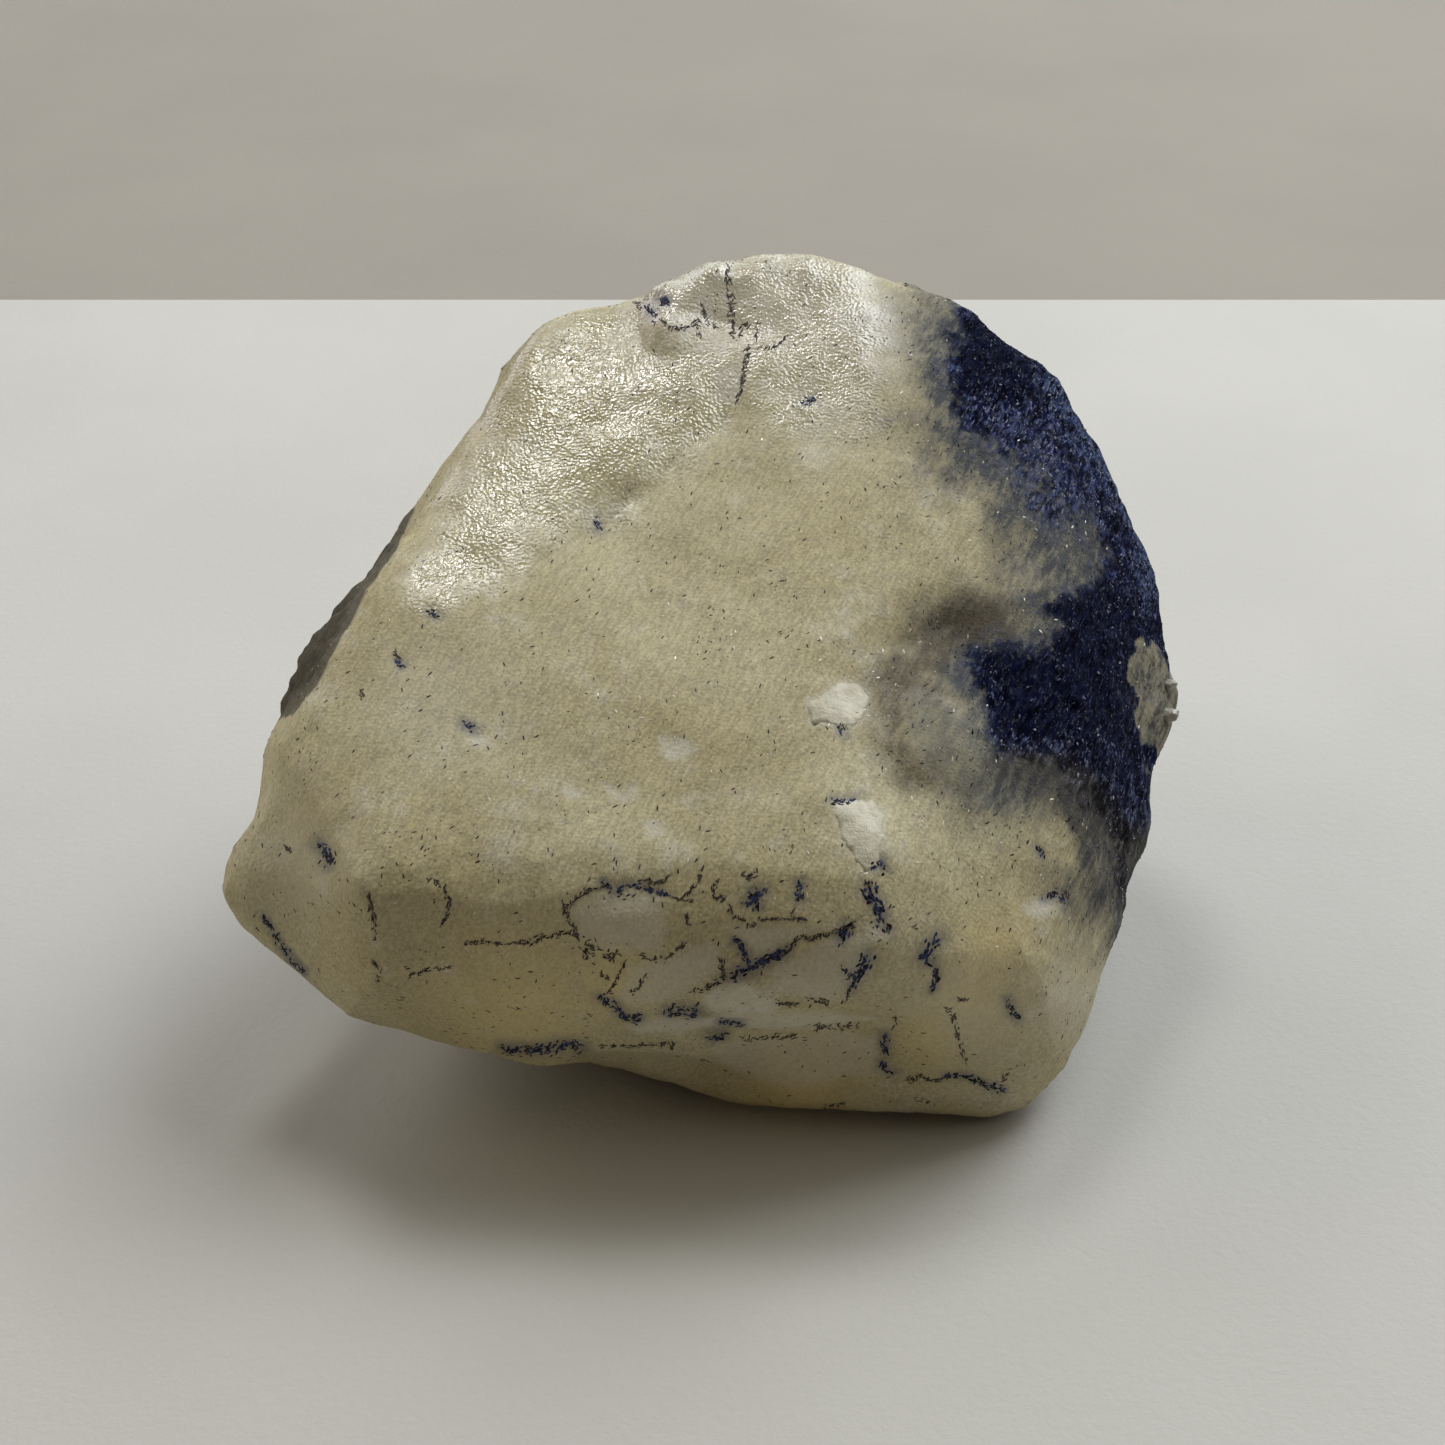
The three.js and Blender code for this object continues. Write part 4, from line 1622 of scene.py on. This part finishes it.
@dataclass(frozen=True)
class Laid:
    """Needles laid in the stone along the veins that the front view shows.

    Lengths are in pixels of the front view, unless they are in millimetres. A heavier vein has
    more, longer and wider needles, by the shares given here.
    """

    name: str
    finish: CrystalFinish
    material_slot: str
    routes: list[tuple[float, Route]]
    per_pixel: float
    length: Range
    width: Range
    stray: float
    seed: int = 1
    more_by_weight: float = 0.4
    longer_by_weight: float = 0.25
    wider_by_weight: float = 0.3
    uneven: Range = (0.6, 1.4)
    # share of the needles that follow the vein, direction of the others, and how far both stray
    follow: float = 0.65
    lean: float = math.radians(58)
    fan: float = 0.35
    thickness: float = 0.045 * MM
    raised: float = 0.15
    kept_lengths: Range = (0.02 * MM, 1.0 * MM)

    @staticmethod
    def heavier(weight: float, share: float) -> float:
        """Factor for a vein of some weight, 1 for the weight 1."""
        return 1 - share + share * weight

    def dashes(self) -> Iterator[Dash]:
        """Draws the needles by chance, vein after vein.

        Returns:
            Every needle, one at a time.
        """
        draw = random.Random(self.seed)
        for weight, route in self.routes:
            for start, end in zip(route, route[1:]):
                heading = math.atan2(start[1] - end[1], end[0] - start[0])
                usual = math.dist(start, end) * self.per_pixel * self.heavier(weight, self.more_by_weight)
                for _ in range(max(1, round(usual * draw.uniform(*self.uneven)))):
                    along = draw.random()
                    x, y = (a + (b - a) * along + draw.gauss(0, self.stray * weight)
                            for a, b in zip(start, end))
                    follows = draw.random() < self.follow
                    angle = draw.gauss(heading if follows else self.lean, self.fan)
                    half = draw.uniform(*self.length) / 2 * self.heavier(weight, self.longer_by_weight)
                    right, down = math.cos(angle) * half, -math.sin(angle) * half
                    width = draw.uniform(*self.width) * self.heavier(weight, self.wider_by_weight)
                    yield Dash((x - right, y - down), (x + right, y + down), width, draw.random())

    def build(self, surface: FineSurface, nodes: CrystalNodes) -> bpy.types.Object:
        """Makes the needles.

        Args:
            surface: The stone.
            nodes: Node group that lays them.

        Returns:
            The piece.
        """
        places, aims, sizes, tones = [], [], [], []
        shortest, longest = self.kept_lengths
        for dash in self.dashes():
            start, end = surface.land(dash.start), surface.land(dash.end)
            if start is None or end is None:
                continue
            along = end[0] - start[0]
            if not shortest < along.length < longest:
                continue
            normal = (start[1] + end[1]).normalized()
            across = normal.cross(along).normalized()
            upright = along.normalized().cross(across)
            turn = Matrix((along.normalized(), across, upright)).transposed()
            places.append((start[0] + end[0]) / 2 + upright * self.thickness * self.raised)
            aims.append(turn.to_euler())
            sizes.append((along.length / 2, dash.width * surface.pixel / 2, self.thickness / 2))
            tones.append(dash.tone)
        mesh = bpy.data.meshes.new(self.name + "_points")
        mesh.from_pydata(places, [], [])
        for label, values in (("aim", aims), ("size", sizes), ("tone", tones)):
            store(mesh, label, values)
        host = link(self.name + "_host", mesh)
        return nodes.apply(host, self.name, {"Seed": self.seed, "Material": self.finish.material()})


# ------------------------------------------------------------------------------ flakes and knobs


@dataclass(frozen=True)
class Flakes:
    """Thin pale chips of quartzite, still attached where the stone broke.

    Lengths are in pixels of the front view, unless they are in millimetres.
    """

    name: str = "quartzite_flakes"
    material_slot: str = "milky_quartzite"
    # how many of the chips, from the first, stand out from the stone
    raised_chips: int = 2
    mesh_step: float = 4.0
    inner_gap: float = 0.6
    ragged: float = 1.8
    # height over the surface, its share at the rim, and the way in from the rim to the full height
    rise: float = 0.02 * MM
    rim_rise: float = 0.1
    rim_width: float = 7.0
    uneven: Range = (0.7, 1.3)
    root: float = 0.25 * MM
    weld: float = 1e-4
    seed: int = 5

    def outline(self, corners: Route, draw: random.Random) -> Route:
        """Breaks the outline of a chip into short, ragged steps.

        Args:
            corners: Corners of the chip in the front view.
            draw: Source of chance.

        Returns:
            The broken outline.
        """
        edge = []
        for start, end in zip(corners, corners[1:] + corners[:1]):
            steps = max(1, round(math.dist(start, end) / self.mesh_step))
            for share in (step / steps for step in range(steps)):
                edge.append(tuple(a + (b - a) * share + draw.uniform(-1, 1) * self.ragged
                                  for a, b in zip(start, end)))
        return edge

    def filling(self, corners: Route, edge: Route, draw: random.Random) -> np.ndarray:
        """Fills a chip with places on a loose grid.

        Args:
            corners: Corners of the chip in the front view.
            edge: Its broken outline.
            draw: Source of chance.

        Returns:
            N by 2 places inside the outline.
        """
        low, high = np.min(corners, axis=0), np.max(corners, axis=0)
        columns, rows = (np.arange(low[axis], high[axis], self.mesh_step) for axis in (0, 1))
        grid = ((x, y) for x in columns for y in rows)
        inner = np.array([(x + draw.uniform(-1, 1), y + draw.uniform(-1, 1)) for x, y in grid])
        return inner[depth_inside(inner, edge) > self.mesh_step * self.inner_gap]

    def add_chip(self, work: bmesh.types.BMesh, surface: FineSurface, corners: Route, seed: int) -> None:
        """Adds one closed chip to the mesh under construction.

        Args:
            work: The mesh.
            surface: The stone.
            corners: Outline of the chip in the front view.
            seed: Seed of its broken edge.
        """
        draw = random.Random(seed)
        edge = self.outline(corners, draw)
        flat = [Vector(p) for p in (*edge, *self.filling(corners, edge, draw))]
        points, _, faces, *_ = delaunay_2d_cdt(flat, [], [list(range(len(edge)))], 1, self.weld)
        landed = [surface.land(tuple(p)) for p in points]
        if any(place is None for place in landed):
            return
        upper, lower = [], []
        depths = depth_inside(np.array([tuple(p) for p in points]), edge)
        for (place, normal), depth in zip(landed, depths):
            inward = min(max(depth, 0) / self.rim_width, 1)
            lift = self.rise * (self.rim_rise + (1 - self.rim_rise) * inward) * draw.uniform(*self.uneven)
            upper.append(work.verts.new(place + normal * lift))
            lower.append(work.verts.new(place - normal * self.root))
        sides = {}
        for a, b, c in faces:
            if (points[b] - points[a]).cross(points[c] - points[a]) > 0:
                b, c = c, b
            work.faces.new((upper[a], upper[b], upper[c]))
            work.faces.new((lower[a], lower[c], lower[b]))
            sides.update(dict.fromkeys(((a, b), (b, c), (c, a))))
        for first, last in sides:
            if (last, first) not in sides:
                work.faces.new((upper[last], upper[first], lower[first], lower[last]))

    def build(self, surface: FineSurface) -> bpy.types.Object:
        """Makes the chips as one piece.

        Args:
            surface: The stone.

        Returns:
            The piece.
        """
        work = bmesh.new()
        for index, corners in enumerate(CHIPS[:self.raised_chips]):
            self.add_chip(work, surface, corners, self.seed + index)
        bmesh.ops.recalc_face_normals(work, faces=work.faces)
        return smooth_piece(self.name, work, FlakeFinish().material())


@dataclass(frozen=True)
class Bead:
    """A quartz bead of the front view, which stands out and is stretched by shares of its radius."""

    pixel: Pixel
    radius: float
    reach: float
    stretch: float


@dataclass(frozen=True)
class Knobs:
    """Clear quartz beads that stand out from the pale growth at the right edge."""

    name: str = "quartz_knobs"
    material_slot: str = "clear_quartz"
    beads: tuple[Bead, ...] = (Bead((1167, 685), 5.0, 0.45, 1.45), Bead((1166, 715), 6.5, 0.55, 1.5))
    rightward: float = 1.6
    wobble: float = 0.34
    lumps: float = 1.3
    finish: CrystalFinish = CrystalFinish("clear_quartz", srgb(150, 148, 138), srgb(190, 188, 178))

    def build(self, surface: FineSurface) -> bpy.types.Object:
        """Makes the beads as one piece.

        Args:
            surface: The stone.

        Returns:
            The piece.
        """
        work = bmesh.new()
        for bead in self.beads:
            landed = surface.land(bead.pixel)
            if landed is None:
                continue
            place, normal = landed
            outward = (normal + Vector((self.rightward, 0, 0))).normalized()
            turn = outward.to_track_quat("Z", "Y").to_matrix()
            size = bead.radius * surface.pixel
            for vert in bmesh.ops.create_icosphere(work, subdivisions=3, radius=size)["verts"]:
                lump = 1 + self.wobble * noise.noise(vert.co / size * self.lumps + place / MM)
                point = Vector((vert.co.x, vert.co.y, vert.co.z * bead.stretch)) * lump
                vert.co = place + turn @ point + outward * bead.reach * size
        return smooth_piece(self.name, work, self.finish.material())


# ------------------------------------------------------------------------------ studio


@dataclass(frozen=True)
class Softbox:
    """A soft rectangular lamp that hangs over the stone and looks at it."""

    name: str
    place: Place
    size: tuple[float, float]
    watts: float
    colour: Colour

    def hang(self) -> bpy.types.Object:
        """Makes the lamp.

        Returns:
            The lamp.
        """
        data = bpy.data.lights.new(self.name, "AREA")
        data.shape = "RECTANGLE"
        data.size, data.size_y = self.size
        data.energy = self.watts
        data.color = self.colour
        lamp = link(self.name, data)
        lamp.location = self.place
        aim = Vector(VIEW.target) - Vector(self.place)
        lamp.rotation_mode = "QUATERNION"
        lamp.rotation_quaternion = aim.to_track_quat("-Z", "Y")
        lamp.visible_camera = False
        return lamp


@dataclass(frozen=True)
class Ground:
    """A flat rectangular ground, from its left front corner to its right back corner."""

    low: tuple[float, float]
    high: tuple[float, float]
    top: float
    finish: GroundFinish

    def lay(self, name: str) -> bpy.types.Object:
        """Makes the ground.

        Args:
            name: Name of the ground.

        Returns:
            The ground.
        """
        (left, front), (right, back), top = self.low, self.high, self.top
        corners = [(left, front, top), (right, front, top), (right, back, top), (left, back, top)]
        mesh = bpy.data.meshes.new(name)
        mesh.from_pydata(corners, [], [(0, 1, 2, 3)])
        mesh.materials.append(self.finish.material())
        ground = link(name, mesh)
        return ground


@dataclass
class Studio:
    """Pale sheet on a table, soft lamps and a dim surround."""

    sheet: Ground = Ground(
        (-0.4, -0.4), (0.4, 0.084), 0.0, GroundFinish("pale_sheet", srgb(190, 189, 184)))
    table: Ground = Ground(
        (-3.0, -3.0), (3.0, 3.0), -0.4 * MM, GroundFinish("table_top", srgb(146, 141, 132)))
    lamps: tuple[Softbox, ...] = (
        Softbox("key_softbox", (-0.075, 0.185, 0.45), (0.12, 0.12), 0.54, (1.0, 1.0, 1.0)),
        Softbox("right_top_softbox", (0.22, 0.16, 0.42), (0.25, 0.25), 1.28, (0.95, 0.98, 1.0)),
        Softbox("right_back_softbox", (0.35, 0.40, 0.35), (0.30, 0.30), 1.1, (0.93, 0.96, 1.0)),
        Softbox("left_back_softbox", (-0.35, 0.40, 0.35), (0.30, 0.30), 0.76, (0.96, 0.90, 1.0)),
        Softbox("back_softbox", (0.0, 0.60, 0.25), (0.60, 0.25), 0.80, (0.90, 1.0, 0.98)),
        Softbox("left_fill", (-0.50, 0.05, 0.30), (0.35, 0.35), 0.88, (1.0, 0.92, 0.70)),
        Softbox("right_fill", (0.50, 0.05, 0.30), (0.35, 0.35), 0.70, (1.0, 0.95, 0.84)),
        Softbox("front_fill", (0.0, -0.50, 0.12), (0.60, 0.20), 0.20, (1.0, 0.78, 0.54)),
    )
    surround: Colour = (0.86, 0.87, 0.9)
    surround_strength: float = 0.01

    def build(self) -> None:
        """Makes the ground, the lamps and the surround."""
        self.sheet.lay("floor")
        self.table.lay("table")
        for lamp in self.lamps:
            lamp.hang()
        world = bpy.data.worlds.new("surround")
        bpy.context.scene.world = world
        world.use_nodes = True
        background = world.node_tree.nodes["Background"]
        background.inputs["Color"].default_value = (*self.surround, 1.0)
        background.inputs["Strength"].default_value = self.surround_strength
        bpy.context.scene.view_settings.view_transform = "Standard"


# ------------------------------------------------------------------------------ the whole scene


NEEDLE_BLUE = CrystalFinish("blue_needles", srgb(8, 9, 20), srgb(62, 70, 104), 0.6, 0.1)
NEEDLE_BROWN = CrystalFinish("smoky_needles", srgb(22, 20, 24), srgb(92, 82, 76), 0.6, 0.2)
HAZE_FIBRE = CrystalFinish("haze_fibres", srgb(30, 30, 36), srgb(78, 78, 82), 0.6, 0.1)
GLINT = CrystalFinish("quartz_glints", srgb(190, 183, 156), srgb(212, 208, 190), 0.14, 0.9)
PALE_GRAIN = CrystalFinish("pale_grains", srgb(56, 62, 92), srgb(156, 160, 178), 0.6, 0.15)
BLUE_FIBRE = CrystalFinish("blue_fibres", srgb(3, 4, 16), srgb(92, 97, 124), 0.6, 0.05)
STREWN_PIECES: tuple[Strewn, ...] = (
    Strewn("smoky_needles_strewn", NEEDLE_BROWN, "dumortierite", 2.0,
           (0.035, 0.025, 0.02), (0.17, 0.045, 0.02),
           unmarked=1.0, marked=0.1, clumps=0.75, spin=1.0, tilt=0.1, seed=11),
    Strewn("haze_fibres", HAZE_FIBRE, "dumortierite", 4.0, (0.05, 0.02, 0.02), (0.20, 0.04, 0.02),
           marking=Mark.HAZE, off_crusts=0.8, clumps=0.6, spin=0.7, tilt=0.1, seed=15),
    Strewn("quartz_glints", GLINT, "clear_quartz", 5.0, (0.05, 0.025, 0.012), (0.17, 0.05, 0.018),
           marking=Mark.GLOSS, unmarked=0.16, off_crusts=1.0, clumps=0.45, spin=1.1, tilt=0.2, seed=12),
    Strewn("pale_grains", PALE_GRAIN, "clear_quartz", 3.6, (0.04, 0.03, 0.03), (0.14, 0.07, 0.045),
           clumps=0.92, sparse_in_cores=0.4, seed=13),
    Strewn("blue_fibres", BLUE_FIBRE, "dumortierite", 6.5, (0.06, 0.025, 0.025), (0.17, 0.05, 0.04),
           clumps=0.4, sparse_in_cores=0.7, spin=0.6, tilt=0.35, seed=14),
)
LAID_PIECES: tuple[Laid, ...] = (
    Laid("blue_vein_needles", NEEDLE_BLUE, "dumortierite", NAVY_ROUTES, 0.9,
         length=(2.5, 6.0), width=(1.0, 2.3), stray=1.4, seed=21),
    Laid("smoky_vein_needles", NEEDLE_BROWN, "dumortierite", BROWN_ROUTES, 1.05,
         length=(2.5, 8.0), width=(0.7, 1.9), stray=1.9, seed=22),
)


def dress(piece: bpy.types.Object, material_slot: str) -> None:
    """Hands a finished piece to the frame and reports it.

    Args:
        piece: The piece.
        material_slot: Slot of the material it is made of; not used.
    """
    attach(piece, BODY)
    LOG.info("%s: %d faces", piece.name, len(piece.data.polygons))


def main() -> None:
    """Builds the specimen and its studio."""
    logging.basicConfig(level=logging.INFO, format="%(name)s: %(message)s")
    VIEW.make_camera()
    Studio().build()
    surface = Stone().build()
    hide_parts("dumortierite_stone")
    dress(surface.stone, "milky_quartzite")
    strewing, laying = strewing_nodes(), laying_nodes()
    for strewn in STREWN_PIECES:
        dress(strewn.build(surface, strewing), strewn.material_slot)
    for laid in LAID_PIECES:
        dress(laid.build(surface, laying), laid.material_slot)
    for part in (Flakes(), Knobs()):
        dress(part.build(surface), part.material_slot)


if __name__ == "__main__":
    main()
